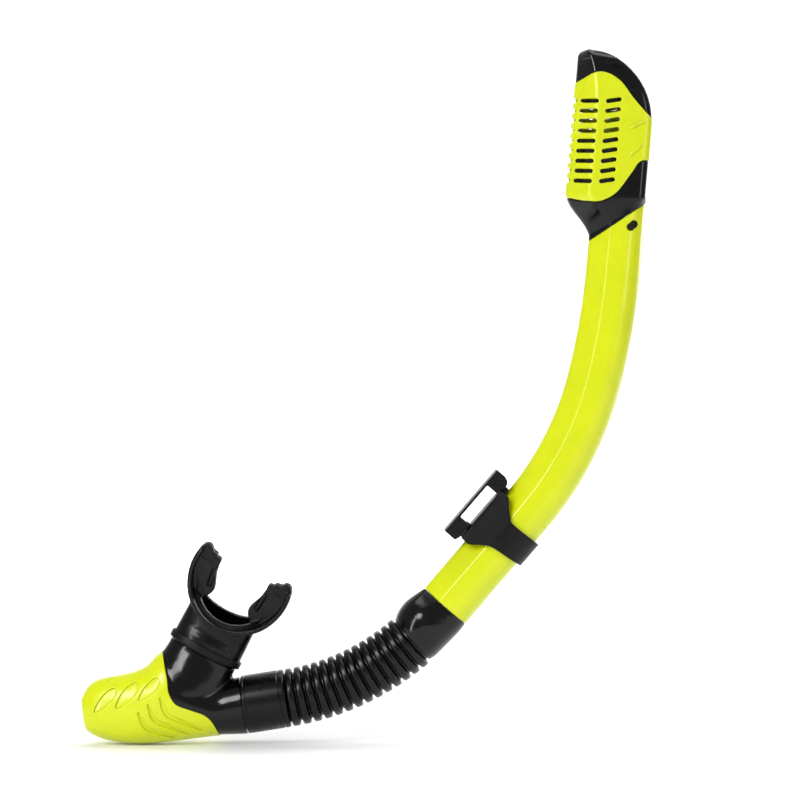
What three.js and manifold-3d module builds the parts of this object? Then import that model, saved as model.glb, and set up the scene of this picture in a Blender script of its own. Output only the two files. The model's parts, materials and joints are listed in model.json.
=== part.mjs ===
// A dry snorkel: a J-shaped breathing tube with a float-valve top, a mask-strap keeper,
// a corrugated drop hose, a chamber with a purge valve, and a bite mouthpiece.
// Millimetres, +Z up. The J lies in the XZ plane, with the barrel's top up and the
// mouthpiece to the left. The origin is the centre of the keeper's strap seat.
import * as THREE from "three";
import { mergeVertices } from "three/addons/utils/BufferGeometryUtils.js";
import Module from "manifold-3d";

const wasm = await Module();
wasm.setup();

// ---------- Driving dimensions ----------
const GAP = 0.3; // seam and running clearance
const WALL = 2; // barrel and dry-top walls
const ROUND = 24; // points round a section
const THROUGH = 80; // length of a cutter that passes right through

// The tube's axis, walked from the keeper. "turn" is the change of lean, in degrees.
const KEEPER_LEAN = 40.7;
const STRAP_SEAT = { x: -20, z: 2.8 }; // in the keeper's frame
const KEEPER_TO_TOP = [
  { length: 18, turn: 0 },
  { length: 90.2, turn: -26.5 },
  { length: 67.9, turn: -9.2 },
  { length: 27, turn: 0 },
];
const KEEPER_TO_BARREL_END = 56;
const HOSE_RADIUS = 147.4; // of the hose's bend, at its centreline
const COUPLING = { straight: 8, bent: 20 };
const BELLOWS_LENGTH = 83.7;
const CUFF_LENGTH = 26.7;
const TOP_SEAM_SLOPE = Math.tan(THREE.MathUtils.degToRad(37.9));

// Sections are hulls of circles [x, y, r]; x runs from the front (-) to the back (+).
const BARREL_SECTION = [
  [-9.5, 0, 6.5],
  [-3.5, 10, 3],
  [-3.5, -10, 3],
  [3.2, 0, 13.3],
  [3.2, 0, 13.3],
];

const COLOURS = {
  yellow: { color: 0xdfe614, roughness: 0.28, metalness: 0 },
  black: { color: 0x0c0c0d, roughness: 0.22, metalness: 0 },
  satin: { color: 0x1a1b1c, roughness: 0.5, metalness: 0 },
  silicone: { color: 0x0f0f10, roughness: 0.38, metalness: 0 },
  drum: { color: 0x141415, roughness: 0.3, metalness: 0 },
};

// ---------- Frames: a point on the tube's axis and the axis's lean from the vertical ----------
// A frame's own z runs up the tube, its x to the back (right), and y stays the part's y.
const radians = THREE.MathUtils.degToRad;

function walk(frame, length, turn) {
  const half = radians(turn) / 2;
  const chord = Math.abs(half) < 1e-9 ? length : (length * Math.sin(half)) / half;
  const heading = radians(frame.lean) + half;
  return {
    x: frame.x + chord * Math.sin(heading),
    z: frame.z + chord * Math.cos(heading),
    lean: frame.lean + turn,
  };
}

function shifted(frame, x, z, turn = 0) {
  const lean = radians(frame.lean);
  return {
    x: frame.x + x * Math.cos(lean) + z * Math.sin(lean),
    z: frame.z - x * Math.sin(lean) + z * Math.cos(lean),
    lean: frame.lean + turn,
  };
}

function matrixOf(frame) {
  return new THREE.Matrix4()
    .makeRotationY(radians(frame.lean))
    .setPosition(frame.x, 0, frame.z);
}

// The frames down a walk, with a turn split into parts of at most "most" degrees.
function along(frame, steps, most) {
  const frames = [frame];
  for (const { length, turn } of steps) {
    const parts = turn === 0 ? 1 : Math.ceil(Math.abs(turn) / most);
    for (let i = 0; i < parts; i++) {
      frames.push(walk(frames.at(-1), length / parts, turn / parts));
    }
  }
  return frames;
}

const keeperFrame = shifted(
  { x: 0, z: 0, lean: KEEPER_LEAN },
  -STRAP_SEAT.x,
  -STRAP_SEAT.z,
);
const barrelFrames = along(
  walk(keeperFrame, -KEEPER_TO_BARREL_END, 0),
  [{ length: KEEPER_TO_BARREL_END, turn: 0 }, ...KEEPER_TO_TOP],
  4,
);
const barrelEnd = barrelFrames[0];
const topFrame = barrelFrames.at(-1);
const bendPer = (length) => THREE.MathUtils.radToDeg(length / HOSE_RADIUS);

// The frame at a distance down the hose's line from the barrel's end.
function hoseFrame(distance) {
  const straight = Math.min(distance, COUPLING.straight);
  const bentEnd = COUPLING.straight + COUPLING.bent + BELLOWS_LENGTH;
  const bent = Math.min(Math.max(distance - COUPLING.straight, 0), bentEnd - COUPLING.straight);
  const cuff = Math.max(distance - bentEnd, 0);
  const bend = walk(walk(barrelEnd, -straight, 0), -bent, bendPer(bent));
  return walk(bend, -cuff, 0);
}
const couplingEnd = COUPLING.straight + COUPLING.bent;
const bellowsEnd = couplingEnd + BELLOWS_LENGTH;
const chamberFrame = hoseFrame(bellowsEnd + CUFF_LENGTH);
const PORT = { x: -37, z: -17.3, turn: -53.3 }; // mouthpiece port in the chamber's frame
const portFrame = shifted(chamberFrame, PORT.x, PORT.z, PORT.turn);
const MOUTH_TILT = 20; // the bite end tips towards -Y, about a line across the sleeve
const MOUTH_PIVOT = 10; // that line's height above the port

// ---------- Solids ----------
function solid(geometry) {
  const bare = new THREE.BufferGeometry().setAttribute(
    "position",
    (geometry.index ? geometry.toNonIndexed() : geometry).getAttribute("position"),
  );
  const merged = mergeVertices(bare, 1e-4);
  const mesh = new wasm.Mesh({
    numProp: 3,
    vertProperties: new Float32Array(merged.attributes.position.array),
    triVerts: new Uint32Array(merged.index.array),
  });
  return new wasm.Manifold(mesh);
}

function geometryOf(made) {
  const mesh = made.getMesh();
  const positions = new Float32Array(mesh.numVert * 3);
  for (let i = 0; i < mesh.numVert; i++) {
    positions.set(mesh.vertProperties.subarray(i * mesh.numProp, i * mesh.numProp + 3), i * 3);
  }
  return new THREE.BufferGeometry()
    .setAttribute("position", new THREE.BufferAttribute(positions, 3))
    .setIndex(new THREE.BufferAttribute(mesh.triVerts, 1));
}

function inFrame(made, frame) {
  return made.transform(matrixOf(frame).toArray());
}

const joined = (...solids) => solids.reduce((a, b) => a.add(b));
const without = (made, ...cutters) => cutters.reduce((a, b) => a.subtract(b), made);

// A closed skin over rings of points. Rings run along the piece; capped at both ends,
// or joined end to end when "closed", which makes a tube with a wall.
function loft(rings, closed = false) {
  const count = rings[0].length;
  const positions = rings.flat().flatMap((p) => [p.x, p.y, p.z]);
  const index = [];
  const bands = closed ? rings.length : rings.length - 1;
  for (let r = 0; r < bands; r++) {
    const low = r * count;
    const high = ((r + 1) % rings.length) * count;
    for (let i = 0; i < count; i++) {
      const j = (i + 1) % count;
      index.push(low + i, low + j, high + j, low + i, high + j, high + i);
    }
  }
  if (!closed) {
    for (const end of [0, rings.length - 1]) {
      const middle = new THREE.Vector3();
      rings[end].forEach((p) => middle.addScaledVector(p, 1 / count));
      const apex = positions.length / 3;
      positions.push(middle.x, middle.y, middle.z);
      for (let i = 0; i < count; i++) {
        const j = (i + 1) % count;
        const [a, b] = end === 0 ? [j, i] : [i, j];
        index.push(apex, end * count + a, end * count + b);
      }
    }
  }
  const made = solid(
    new THREE.BufferGeometry()
      .setAttribute("position", new THREE.Float32BufferAttribute(positions, 3))
      .setIndex(index),
  );
  if (made.volume() >= 0) return made;
  for (let i = 0; i < index.length; i += 3) {
    [index[i + 1], index[i + 2]] = [index[i + 2], index[i + 1]];
  }
  return solid(
    new THREE.BufferGeometry()
      .setAttribute("position", new THREE.Float32BufferAttribute(positions, 3))
      .setIndex(index),
  );
}

// The outline of the hull of circles, each grown by "grow".
function hull(circles, grow = 0, count = ROUND) {
  return Array.from({ length: count }, (_, i) => {
    const angle = (2 * Math.PI * (i + 0.5)) / count;
    const [c, s] = [Math.cos(angle), Math.sin(angle)];
    const reach = ([x, y, r]) => x * c + y * s + r;
    const [x, y, r] = circles.reduce((a, b) => (reach(b) > reach(a) + 1e-9 ? b : a));
    return new THREE.Vector2(x + (r + grow) * c, y + (r + grow) * s);
  });
}

const mixed = (a, b, k) => a.map((row, i) => row.map((v, j) => v + (b[i][j] - v) * k));
const oval = (halfX, halfY, x = 0) =>
  Array.from({ length: ROUND }, (_, i) => {
    const angle = (2 * Math.PI * (i + 0.5)) / ROUND;
    return new THREE.Vector2(x + halfX * Math.cos(angle), halfY * Math.sin(angle));
  });
const level = (outline, z, slope = 0) =>
  outline.map((p) => new THREE.Vector3(p.x, p.y, z + slope * p.x));
const onFrame = (outline, frame) =>
  level(outline, 0).map((p) => p.applyMatrix4(matrixOf(frame)));

// A shape drawn in (x, z), extruded through y from -half to +half, or between two values of y.
function slab(shape, half, other = -half, curveSegments = 8) {
  const depth = Math.abs(half - other);
  const geometry = new THREE.ExtrudeGeometry(shape, { depth, bevelEnabled: false, curveSegments });
  geometry.rotateX(Math.PI / 2);
  geometry.translate(0, Math.max(half, other), 0);
  return solid(geometry);
}

function polygon(points) {
  return new THREE.Shape(points.map(([x, z]) => new THREE.Vector2(x, z)));
}

// Everything on one side of a smooth line through points, out to a far z.
function sideOf(points, farZ, shift = 0, samples = 24) {
  const line = new THREE.SplineCurve(points.map(([x, z]) => new THREE.Vector2(x, z + shift)));
  const edge = line.getPoints(samples);
  const [first, last] = [edge[0], edge.at(-1)];
  return new THREE.Shape([
    ...edge,
    new THREE.Vector2(last.x, farZ),
    new THREE.Vector2(first.x, farZ),
  ]);
}

function stadium(length, width, x = 0, z = 0, tilt = 0) {
  const half = length / 2 - width / 2;
  const shape = new THREE.Shape();
  const turn = radians(tilt);
  const [dx, dz] = [half * Math.cos(turn), half * Math.sin(turn)];
  shape.absarc(x + dx, z + dz, width / 2, turn - Math.PI / 2, turn + Math.PI / 2);
  shape.absarc(x - dx, z - dz, width / 2, turn + Math.PI / 2, turn + 1.5 * Math.PI);
  return shape;
}

function block(x0, x1, y0, y1, z0, z1) {
  const geometry = new THREE.BoxGeometry(x1 - x0, y1 - y0, z1 - z0);
  geometry.translate((x0 + x1) / 2, (y0 + y1) / 2, (z0 + z1) / 2);
  return solid(geometry);
}

// A cylinder on the local z axis, or turned to lie on x or y.
function rod(radius, from, to, axis = "z", x = 0, y = 0, segments = 32) {
  const geometry = new THREE.CylinderGeometry(radius, radius, to - from, segments);
  if (axis === "z") geometry.rotateX(Math.PI / 2).translate(x, y, (from + to) / 2);
  if (axis === "y") geometry.translate(x, (from + to) / 2, y);
  if (axis === "x") geometry.rotateZ(Math.PI / 2).translate((from + to) / 2, x, y);
  return solid(geometry);
}

// A wall of revolution that follows the hose's line: a closed profile of [distance, radius].
function hoseWall(profile, segments = 18) {
  const circle = hull([[0, 0, 0]], 1, segments);
  const rings = profile.map(([distance, radius]) =>
    onFrame(circle.map((p) => p.clone().multiplyScalar(radius)), hoseFrame(distance)),
  );
  return loft(rings, true);
}

// ---------- Nodes ----------
const snorkel = new THREE.Group();
snorkel.name = "snorkel";

function add(name, made, look, frame = null) {
  const material = new THREE.MeshStandardMaterial(COLOURS[look]);
  const mesh = new THREE.Mesh(geometryOf(made.simplify(0.02)), material);
  mesh.name = name;
  if (frame) {
    mesh.position.set(frame.x, 0, frame.z);
    mesh.rotation.y = radians(frame.lean);
  }
  snorkel.add(mesh);
}

// ---------- Dry top: the outer form, lofted up from the sloping seam on the barrel ----------
const TOP = {
  front: -32,
  back: 15.3,
  half: 19,
  flareEnd: 16,
  shoulder: 59.5,
  crown: { x: -27.5, radius: 42.7 }, // the rounded back of the cap
  height: 102,
};

const smooth = (t) => {
  const k = Math.min(Math.max(t, 0), 1);
  return k * k * (3 - 2 * k);
};

function topCircles(front, back, half) {
  const width = back - front;
  const scale = width / (TOP.back - TOP.front);
  const nose = 9 * scale;
  const ridge = 4 * scale;
  const rear = 6 * scale;
  const ridgeX = front + 0.3 * width;
  return [
    [front + nose, 0, nose],
    [ridgeX, half - ridge, ridge],
    [ridgeX, ridge - half, ridge],
    [back - rear, 0.72 * half - rear, rear],
    [back - rear, rear - 0.72 * half, rear],
  ];
}

function topForm(grow, lowest = 0) {
  const full = topCircles(TOP.front, TOP.back, TOP.half);
  const seamZ = 16 * TOP_SEAM_SLOPE;
  const rings = [];
  for (let i = -lowest; i <= 7; i++) {
    const k = i / 7;
    const frontZ = THREE.MathUtils.lerp(-seamZ, TOP.flareEnd, k);
    const backZ = THREE.MathUtils.lerp(seamZ, TOP.flareEnd, k);
    const flare = smooth((frontZ + 10) / 24);
    const circles = mixed(BARREL_SECTION, full, flare);
    const front = THREE.MathUtils.lerp(-16, TOP.front, flare);
    const slope = Math.max((backZ - frontZ) / (16 - front), 0);
    rings.push(level(hull(circles, grow), frontZ - slope * front, slope));
  }
  for (const z of [40, TOP.shoulder, 67, 74, 81, 87, 92, 96.5]) {
    rings.push(level(hull(topCircles(TOP.front, backAt(z), halfAt(z)), grow), z));
  }
  if (grow >= 0) {
    rings.push(level(hull(topCircles(TOP.front + 0.6, backAt(99), halfAt(99)), grow), 99));
    rings.push(level(hull(topCircles(TOP.front + 2.2, backAt(101), halfAt(101) - 2), grow), 101));
    rings.push(level(hull(topCircles(TOP.front + 4.6, -21, 6), grow), TOP.height));
  }
  return loft(rings);
}

function backAt(z) {
  if (z <= TOP.shoulder) return TOP.back;
  return TOP.crown.x + Math.sqrt(TOP.crown.radius ** 2 - (z - TOP.shoulder) ** 2);
}

function halfAt(z) {
  return TOP.half * Math.sqrt(1 - 0.75 * (Math.max(z - 55, 0) / 52) ** 2);
}

// The two lines where the yellow guard meets the black cap and collar, in (x, z).
const CAP_LINE = [
  [-38, 76.5],
  [-27.4, 84],
  [-17, 87.6],
  [-6.6, 83.6],
  [3, 73.2],
  [14.4, 62.6],
  [22, 57],
];
const COLLAR_LINE = [
  [-38, 14.5],
  [-26, 11.2],
  [-18.9, 10.3],
  [-11.8, 11],
  [-2.9, 17],
  [4.9, 29.2],
  [10.3, 37],
  [22, 38.2],
];
const GUARD_PROUD = 0.5;
const PLUG = { depth: 17.5, wall: 2.6, groove: 13.9 };
const FLOAT_FLOOR = 9.5;

const topSkin = without(topForm(0), topForm(-WALL, 1));
const belowCollar = slab(sideOf(COLLAR_LINE, -60, -GAP), THROUGH / 2);
const aboveCap = slab(sideOf(CAP_LINE, 140, GAP), THROUGH / 2);
const seamRing = (circles, grow, drop) =>
  level(hull(circles, grow), -drop, TOP_SEAM_SLOPE);

// A slice of the barrel's section at the plug's groove.
function plugBand(grow, half) {
  return loft([
    seamRing(BARREL_SECTION, grow, PLUG.groove + half),
    seamRing(BARREL_SECTION, grow, PLUG.groove - half),
  ]);
}

function topCollar() {
  const skin = topSkin.intersect(belowCollar);
  // The floor under the float, with the duct's socket through it at the back.
  const floor = topForm(-WALL / 2).intersect(block(-40, 20, -25, 25, FLOAT_FLOOR - 2.2, FLOAT_FLOOR));
  const plug = loft([
    seamRing(BARREL_SECTION, -WALL - GAP, PLUG.depth),
    seamRing(BARREL_SECTION, -WALL - GAP, -4),
  ]);
  const plugBore = loft([
    seamRing(BARREL_SECTION, -WALL - PLUG.wall, PLUG.depth + 1),
    seamRing(BARREL_SECTION, -WALL - PLUG.wall, -12),
  ]);
  // The plug's head bridges from the sloping seam out to the collar's skin.
  const head = topForm(-WALL / 2).intersect(
    loft([seamRing(BARREL_SECTION, 12, -1), seamRing(BARREL_SECTION, 12, -4)]),
  );
  const seatRing = block(1, 14, -15.4, 15.4, FLOAT_FLOOR - 1, FLOAT_FLOOR + 5);
  const rim = without(seatRing.intersect(topForm(-WALL / 2)), ductForm(GAP));
  // Two ribs on the floor that the float rests on.
  const rests = [-8, 8].map((y) =>
    block(-22, -5, y - 0.8, y + 0.8, FLOAT_FLOOR - 1, FLOAT.bottom - GAP),
  );
  const groove = without(
    plugBand(2, 1.3),
    plugBand(-WALL - 1.5, 3),
  );
  const aboveSeam = loft([seamRing(BARREL_SECTION, 30, -GAP), seamRing(BARREL_SECTION, 30, -80)]);
  const upper = joined(skin, floor, head, rim, ...rests).intersect(aboveSeam);
  return without(
    joined(upper, plug),
    plugBore,
    ductForm(GAP),
    groove,
    ...latchWindows(GAP),
  );
}

// ---------- The air duct: up the back, over the top, with its mouth facing down ----------
const DUCT = { wall: 1.6, half: 14, front: 0.5, back: 11.5, hood: 69, hoodTop: 84, nose: -27 };
const MOUTH = { x: -15.5, radius: 9.5, lip: 1.8 };

function ductOutline(inset) {
  const crownRadius = TOP.crown.radius - 3.7 - inset;
  const top = DUCT.hoodTop - inset;
  const rise = Math.asin((top - TOP.shoulder) / crownRadius);
  const shape = new THREE.Shape();
  shape.moveTo(DUCT.front + inset, FLOAT_FLOOR - (inset ? 10 : 0.5));
  shape.lineTo(DUCT.back - inset, FLOAT_FLOOR - (inset ? 10 : 0.5));
  shape.lineTo(TOP.crown.x + crownRadius, TOP.shoulder);
  shape.absarc(TOP.crown.x, TOP.shoulder, crownRadius, 0, rise);
  shape.lineTo(DUCT.nose + inset + 4, top);
  shape.lineTo(DUCT.nose + inset, top - 4);
  shape.lineTo(DUCT.nose + inset, DUCT.hood + inset);
  shape.lineTo(DUCT.front + inset, DUCT.hood + inset);
  return shape;
}

function ductForm(grow) {
  const foot = block(
    DUCT.front - grow,
    DUCT.back + grow,
    -DUCT.half - grow,
    DUCT.half + grow,
    FLOAT_FLOOR - 0.5,
    FLOAT_FLOOR + 20,
  );
  return foot.intersect(topForm(-WALL - 1 + grow, 1));
}

function inletDuct() {
  const outside = slab(ductOutline(0), DUCT.half).intersect(topForm(-WALL - 1, 1));
  const inside = slab(ductOutline(DUCT.wall), DUCT.half - DUCT.wall).intersect(
    topForm(-WALL - 1 - DUCT.wall, 1),
  );
  const lip = rod(MOUTH.radius + MOUTH.lip, DUCT.hood - 1, DUCT.hood + 1, "z", MOUTH.x);
  const mouth = rod(MOUTH.radius, DUCT.hood - 2, DUCT.hood + 3, "z", MOUTH.x);
  const rails = RAIL.y.map((y) =>
    block(
      DUCT.front - RAIL.proud,
      DUCT.front + 0.4,
      y - RAIL.width / 2,
      y + RAIL.width / 2,
      FLOAT_FLOOR + GAP,
      DUCT.hood + 0.5,
    ),
  );
  return without(joined(outside, lip, ...rails), inside, mouth);
}

// ---------- The float, which rides up the duct's rails and shuts the mouth ----------
const RAIL = { y: [-6, 6], proud: 1.4, width: 1.4 };
const FLOAT = { bottom: FLOAT_FLOOR + 2.9, top: 49.5, back: -0.6, wall: 1.2, clearance: 1.2 };
const SEAL = { radius: 12.6, thick: 1.8 };

function floatForm(grow, bottom, top) {
  const circles = topCircles(TOP.front, TOP.back, TOP.half);
  const drum = loft([
    level(hull(circles, -WALL - FLOAT.clearance + grow), bottom),
    level(hull(circles, -WALL - FLOAT.clearance + grow), top),
  ]);
  return drum.intersect(block(-40, FLOAT.back + grow, -25, 25, bottom, top));
}

function floatShell() {
  const grooves = RAIL.y.map((y) =>
    block(FLOAT.back - 1.6, 5, y - RAIL.width / 2 - 0.5, y + RAIL.width / 2 + 0.5, 0, 80),
  );
  const back = block(FLOAT.back - 2.8, 5, -25, 25, 0, 80);
  const inside = without(floatForm(-FLOAT.wall, FLOAT.bottom - 1, FLOAT.top - FLOAT.wall), back);
  const lidSeat = floatForm(-0.5, FLOAT.bottom - 1, FLOAT.bottom + 1.8);
  const studHole = rod(2.3, FLOAT.top - 3, FLOAT.top + 1, "z", MOUTH.x, 0, 20);
  return without(floatForm(0, FLOAT.bottom, FLOAT.top), inside, lidSeat, studHole, ...grooves);
}

function floatLid() {
  const grooves = RAIL.y.map((y) =>
    block(FLOAT.back - 2.2, 5, y - RAIL.width / 2 - 0.8, y + RAIL.width / 2 + 0.8, 0, 80),
  );
  return without(floatForm(-0.8, FLOAT.bottom, FLOAT.bottom + 1.5), ...grooves);
}

function floatSeal() {
  const disc = rod(SEAL.radius, FLOAT.top + GAP, FLOAT.top + SEAL.thick, "z", MOUTH.x, 0, 40);
  const stud = rod(2, FLOAT.top - 2.5, FLOAT.top + 1, "z", MOUTH.x, 0, 20);
  const bead = rod(2.8, FLOAT.top - 3, FLOAT.top - WALL + GAP, "z", MOUTH.x, 0, 20);
  return joined(disc, stud, bead);
}

// ---------- Vent guard: the yellow louvred shell ----------
const SLOTS = {
  rows: 9,
  topRow: 69.9,
  pitch: 5.97,
  height: 2.4,
  columns: [
    { x: -23.4, rise: 0, length: 10.2, tilt: -3 },
    { x: -9.4, rise: 1.2, length: 9.6, tilt: 15 },
  ],
  nose: { half: 6, depth: -25.5 },
};

function ventGuard() {
  const skin = without(topForm(GUARD_PROUD), topForm(-WALL, 1));
  const region = without(
    block(-60, 40, -30, 30, -20, 130),
    slab(sideOf(COLLAR_LINE, -60), THROUGH / 2),
    slab(sideOf(CAP_LINE, 140), THROUGH / 2),
  );
  const cutters = [];
  for (let row = 0; row < SLOTS.rows; row++) {
    const z = SLOTS.topRow - row * SLOTS.pitch;
    for (const c of SLOTS.columns) {
      const shape = stadium(c.length, SLOTS.height, c.x, z + c.rise, c.tilt);
      cutters.push(slab(shape, THROUGH / 2, -THROUGH / 2, 3));
    }
    const { half, depth } = SLOTS.nose;
    cutters.push(
      block(-50, depth, -half, half, z - SLOTS.height / 2 + 0.6, z + SLOTS.height / 2 + 0.6),
    );
  }
  return without(skin.intersect(region), ...cutters);
}

// ---------- Latch tabs in the barrel's windows ----------
const LATCH = { x: 8.4, z: -1.6, length: 6.6, width: 3.6, tilt: 43 };

function latchWindows(grow) {
  const shape = stadium(LATCH.length + 2 * grow, LATCH.width + 2 * grow, LATCH.x, LATCH.z, LATCH.tilt);
  return [slab(shape, THROUGH / 2, -THROUGH / 2, 5)];
}

// side is -1 for the near tab (-Y) and +1 for the far one.
function latchTab(side) {
  const shape = (grow) =>
    stadium(LATCH.length + grow, LATCH.width + grow, LATCH.x, LATCH.z, LATCH.tilt);
  const head = slab(shape(0), 14, 5, 5);
  const flange = slab(shape(2.6), 14, 5, 5);
  const section = (grow) =>
    loft([level(hull(BARREL_SECTION, grow), -40), level(hull(BARREL_SECTION, grow), 40)]);
  const outer = head.intersect(section(0.35));
  const inner = flange.intersect(section(-WALL - PLUG.wall - GAP));
  const core = section(-WALL - PLUG.wall - 1.6);
  const made = without(joined(outer, inner), core);
  return side > 0 ? made : made.scale([1, -1, 1]);
}

// ---------- Barrel ----------
const SOCKET = { radius: 11.4, depth: 14 };

function barrelTube() {
  const sweep = (grow, frames) =>
    loft(frames.map((f) => onFrame(hull(BARREL_SECTION, grow), f)));
  const above = walk(topFrame, 14, 0);
  const socketTop = walk(barrelEnd, SOCKET.depth, 0);
  const outside = sweep(0, [...barrelFrames.slice(0, -1), above]);
  const inside = sweep(-WALL, [socketTop, ...barrelFrames.slice(1, -1), walk(above, 1, 0)]);
  const socket = inFrame(rod(SOCKET.radius, -1, SOCKET.depth + 0.5), barrelEnd);
  const seam = loft([seamRing(BARREL_SECTION, 20, 0), seamRing(BARREL_SECTION, 20, -60)]);
  return without(
    outside,
    inside,
    socket,
    ...[seam, ...latchWindows(0.35)].map((cutter) => inFrame(cutter, topFrame)),
  );
}

function topOring() {
  const [radius, sides] = [0.55, 8];
  const rings = Array.from({ length: sides }, (_, i) => {
    const angle = (2 * Math.PI * i) / sides;
    const grow = -WALL - GAP - radius + radius * Math.cos(angle);
    return seamRing(BARREL_SECTION, grow, PLUG.groove + radius * Math.sin(angle));
  });
  return loft(rings, true);
}

// ---------- Keeper: a band round the barrel, with a hinged strap gate on its front ----------
const KEEPER = {
  bandHalf: 8.3,
  bandThick: 2.6,
  seat: -STRAP_SEAT.x,
  plateHalf: 13,
  low: -18.6,
  high: 17.4,
  landHalf: 11.7, // of the strap's seat, a land a little proud of the rest of the plate
  landProud: 0.5,
};
// The keeper's outline in (x, z): the narrow band at the back flares to the strap plate.
const PLATE_X = KEEPER.landProud - KEEPER.seat;
const LAND = [STRAP_SEAT.z - KEEPER.landHalf, STRAP_SEAT.z + KEEPER.landHalf];
const KEEPER_FLARE = [
  [20, -KEEPER.bandHalf],
  [20, KEEPER.bandHalf],
  [-1, 7.6],
  [-5.5, 9.8],
  [-9.5, 13.2],
  [-13.4, 17.4],
  [-16.5, 18.2],
  [PLATE_X, KEEPER.high],
  [PLATE_X, LAND[1]],
  [-KEEPER.seat, LAND[1]],
  [-KEEPER.seat, LAND[0]],
  [PLATE_X, LAND[0]],
  [PLATE_X, KEEPER.low],
  [-14, KEEPER.low],
  [-8.5, -14.6],
  [-5, -12],
  [-1, -10.6],
];
// The gate: a bar hinged at its head, with a foot that drops over a catch on the plate.
const GATE = {
  low: -22,
  foot: -9.7,
  head: 15.1,
  high: 26,
  inner: -28,
  outer: -29.6,
  near: -20.4, // the face next to the strap plate
  half: 11,
  pinX: -22.9,
  pinZ: 21.8,
  knuckle: 3.8,
};
const CATCH = { x: -23.2, half: 6, low: -13.4, high: -9 };
const EAR_HALF = 6;

function keeperClip() {
  const circles = BARREL_SECTION;
  const drum = (grow) => loft([level(hull(circles, grow), -40), level(hull(circles, grow), 40)]);
  const wrap = joined(
    drum(KEEPER.bandThick),
    block(-KEEPER.seat, -6, -KEEPER.plateHalf, KEEPER.plateHalf, -40, 40),
  );
  const form = wrap.intersect(slab(polygon(KEEPER_FLARE), THROUGH / 2));
  const ear = joined(
    rod(GATE.knuckle - 0.1, -EAR_HALF, EAR_HALF, "y", GATE.pinX, GATE.pinZ, 20),
    block(GATE.pinX, -18, -EAR_HALF, EAR_HALF, GATE.pinZ - 4.1, GATE.pinZ),
    block(PLATE_X, -16.3, -EAR_HALF, EAR_HALF, 12, GATE.pinZ),
  );
  const catchPost = slab(
    polygon([
      [-18, CATCH.low],
      [CATCH.x + 1.6, CATCH.low],
      [CATCH.x, CATCH.low + 1.4],
      [CATCH.x + 0.8, CATCH.high],
      [-18, CATCH.high],
    ]),
    CATCH.half,
  );
  const pinHole = rod(GATE_PIN.radius + 0.2, -20, 20, "y", GATE.pinX, GATE.pinZ, 20);
  return without(joined(form, ear, catchPost), drum(GAP), pinHole);
}

const GATE_PIN = { radius: 1.1, half: 10.8 };

function keeperGate() {
  const bar = block(GATE.outer, GATE.inner, -GATE.half, GATE.half, GATE.low, GATE.high);
  const head = joined(
    rod(GATE.knuckle, -GATE.half, GATE.half, "y", GATE.pinX, GATE.pinZ, 24),
    block(GATE.outer, GATE.pinX, -GATE.half, GATE.half, GATE.head, GATE.high),
    block(GATE.outer, GATE.near, -GATE.half, GATE.half, GATE.head, GATE.pinZ),
  );
  const foot = slab(
    polygon([
      [GATE.outer, GATE.low],
      [GATE.near - 1.2, GATE.low],
      [GATE.near, GATE.low + 3],
      [GATE.near, GATE.foot],
      [GATE.outer, GATE.foot],
    ]),
    GATE.half,
  );
  const earPocket = block(GATE.pinX - 4.1, -15, -EAR_HALF - 0.4, EAR_HALF + 0.4, GATE.pinZ - 4.6, 40);
  const catchPocket = block(
    CATCH.x - 0.6,
    -15,
    -CATCH.half - 0.5,
    CATCH.half + 0.5,
    CATCH.low - 0.6,
    GATE.foot + 1,
  );
  const pinHole = rod(GATE_PIN.radius + 0.2, -20, 20, "y", GATE.pinX, GATE.pinZ, 20);
  return without(joined(bar, head, foot), earPocket, catchPocket, pinHole);
}

function gatePin() {
  return rod(GATE_PIN.radius, -GATE_PIN.half, GATE_PIN.half, "y", GATE.pinX, GATE.pinZ, 16);
}

// ---------- Coupling: swivels in the barrel's foot and carries the hose ----------
const SPIGOT = { radius: SOCKET.radius - 0.35, bore: 9, up: 12 };

function hoseCoupling() {
  const bell = [
    [GAP, 0, 0, 0],
    [5, 0.9, 0.3, -0.4],
    [11, 1.7, 0.8, -1.1],
    [16, 1.8, 1, -1.3],
    [21, 1.5, 1, -1],
    [25, 0.9, 1, -0.4],
    [27.4, 0, 1, 0],
    [couplingEnd + 0.4, -1.4, 1, 0],
  ];
  const circle = [0, 1, 2, 3, 4].map(() => [0, 0, 16]);
  const ringAt = ([distance, grow, round, shift]) =>
    onFrame(
      hull(mixed(BARREL_SECTION, circle, round), grow),
      shifted(hoseFrame(distance), shift, 0),
    );
  const outside = loft(bell.map(ringAt));
  // The pocket that the hose's upper cuff fills, round a short inner spigot.
  const pocket = hoseWall([
    [couplingEnd + 2, HOSE.pocketIn],
    [couplingEnd + 2, HOSE.pocketOut],
    [couplingEnd - 14, HOSE.pocketOut],
    [couplingEnd - 14, HOSE.pocketIn],
  ]);
  const bore = loft([-14, 2, 10, 16, 22, 30].map((d) => {
    const frame = d < 0 ? walk(barrelEnd, -d, 0) : hoseFrame(d);
    return onFrame(hull([[0, 0, SPIGOT.bore]], 0), frame);
  }));
  const spigot = inFrame(rod(SPIGOT.radius, -1, SPIGOT.up), barrelEnd);
  const groove = inFrame(
    without(rod(13, 5.2, 7.6), rod(SPIGOT.radius - 1.2, 5, 8)),
    barrelEnd,
  );
  return without(joined(outside, spigot), pocket, bore, groove);
}

function couplingOring() {
  const ring = new THREE.TorusGeometry(SPIGOT.radius - 0.35, 0.6, 6, 24);
  return solid(ring.translate(0, 0, 6.4));
}

// ---------- Hose: one moulding, a bellows with a plain cuff at each end ----------
const HOSE = {
  ribs: 14,
  crest: 17.3,
  valley: 14.6,
  wall: 1.5,
  pocketIn: 10.6,
  pocketOut: 14.6,
  cuff: 17.4,
  cuffBore: 15.1,
};

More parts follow.
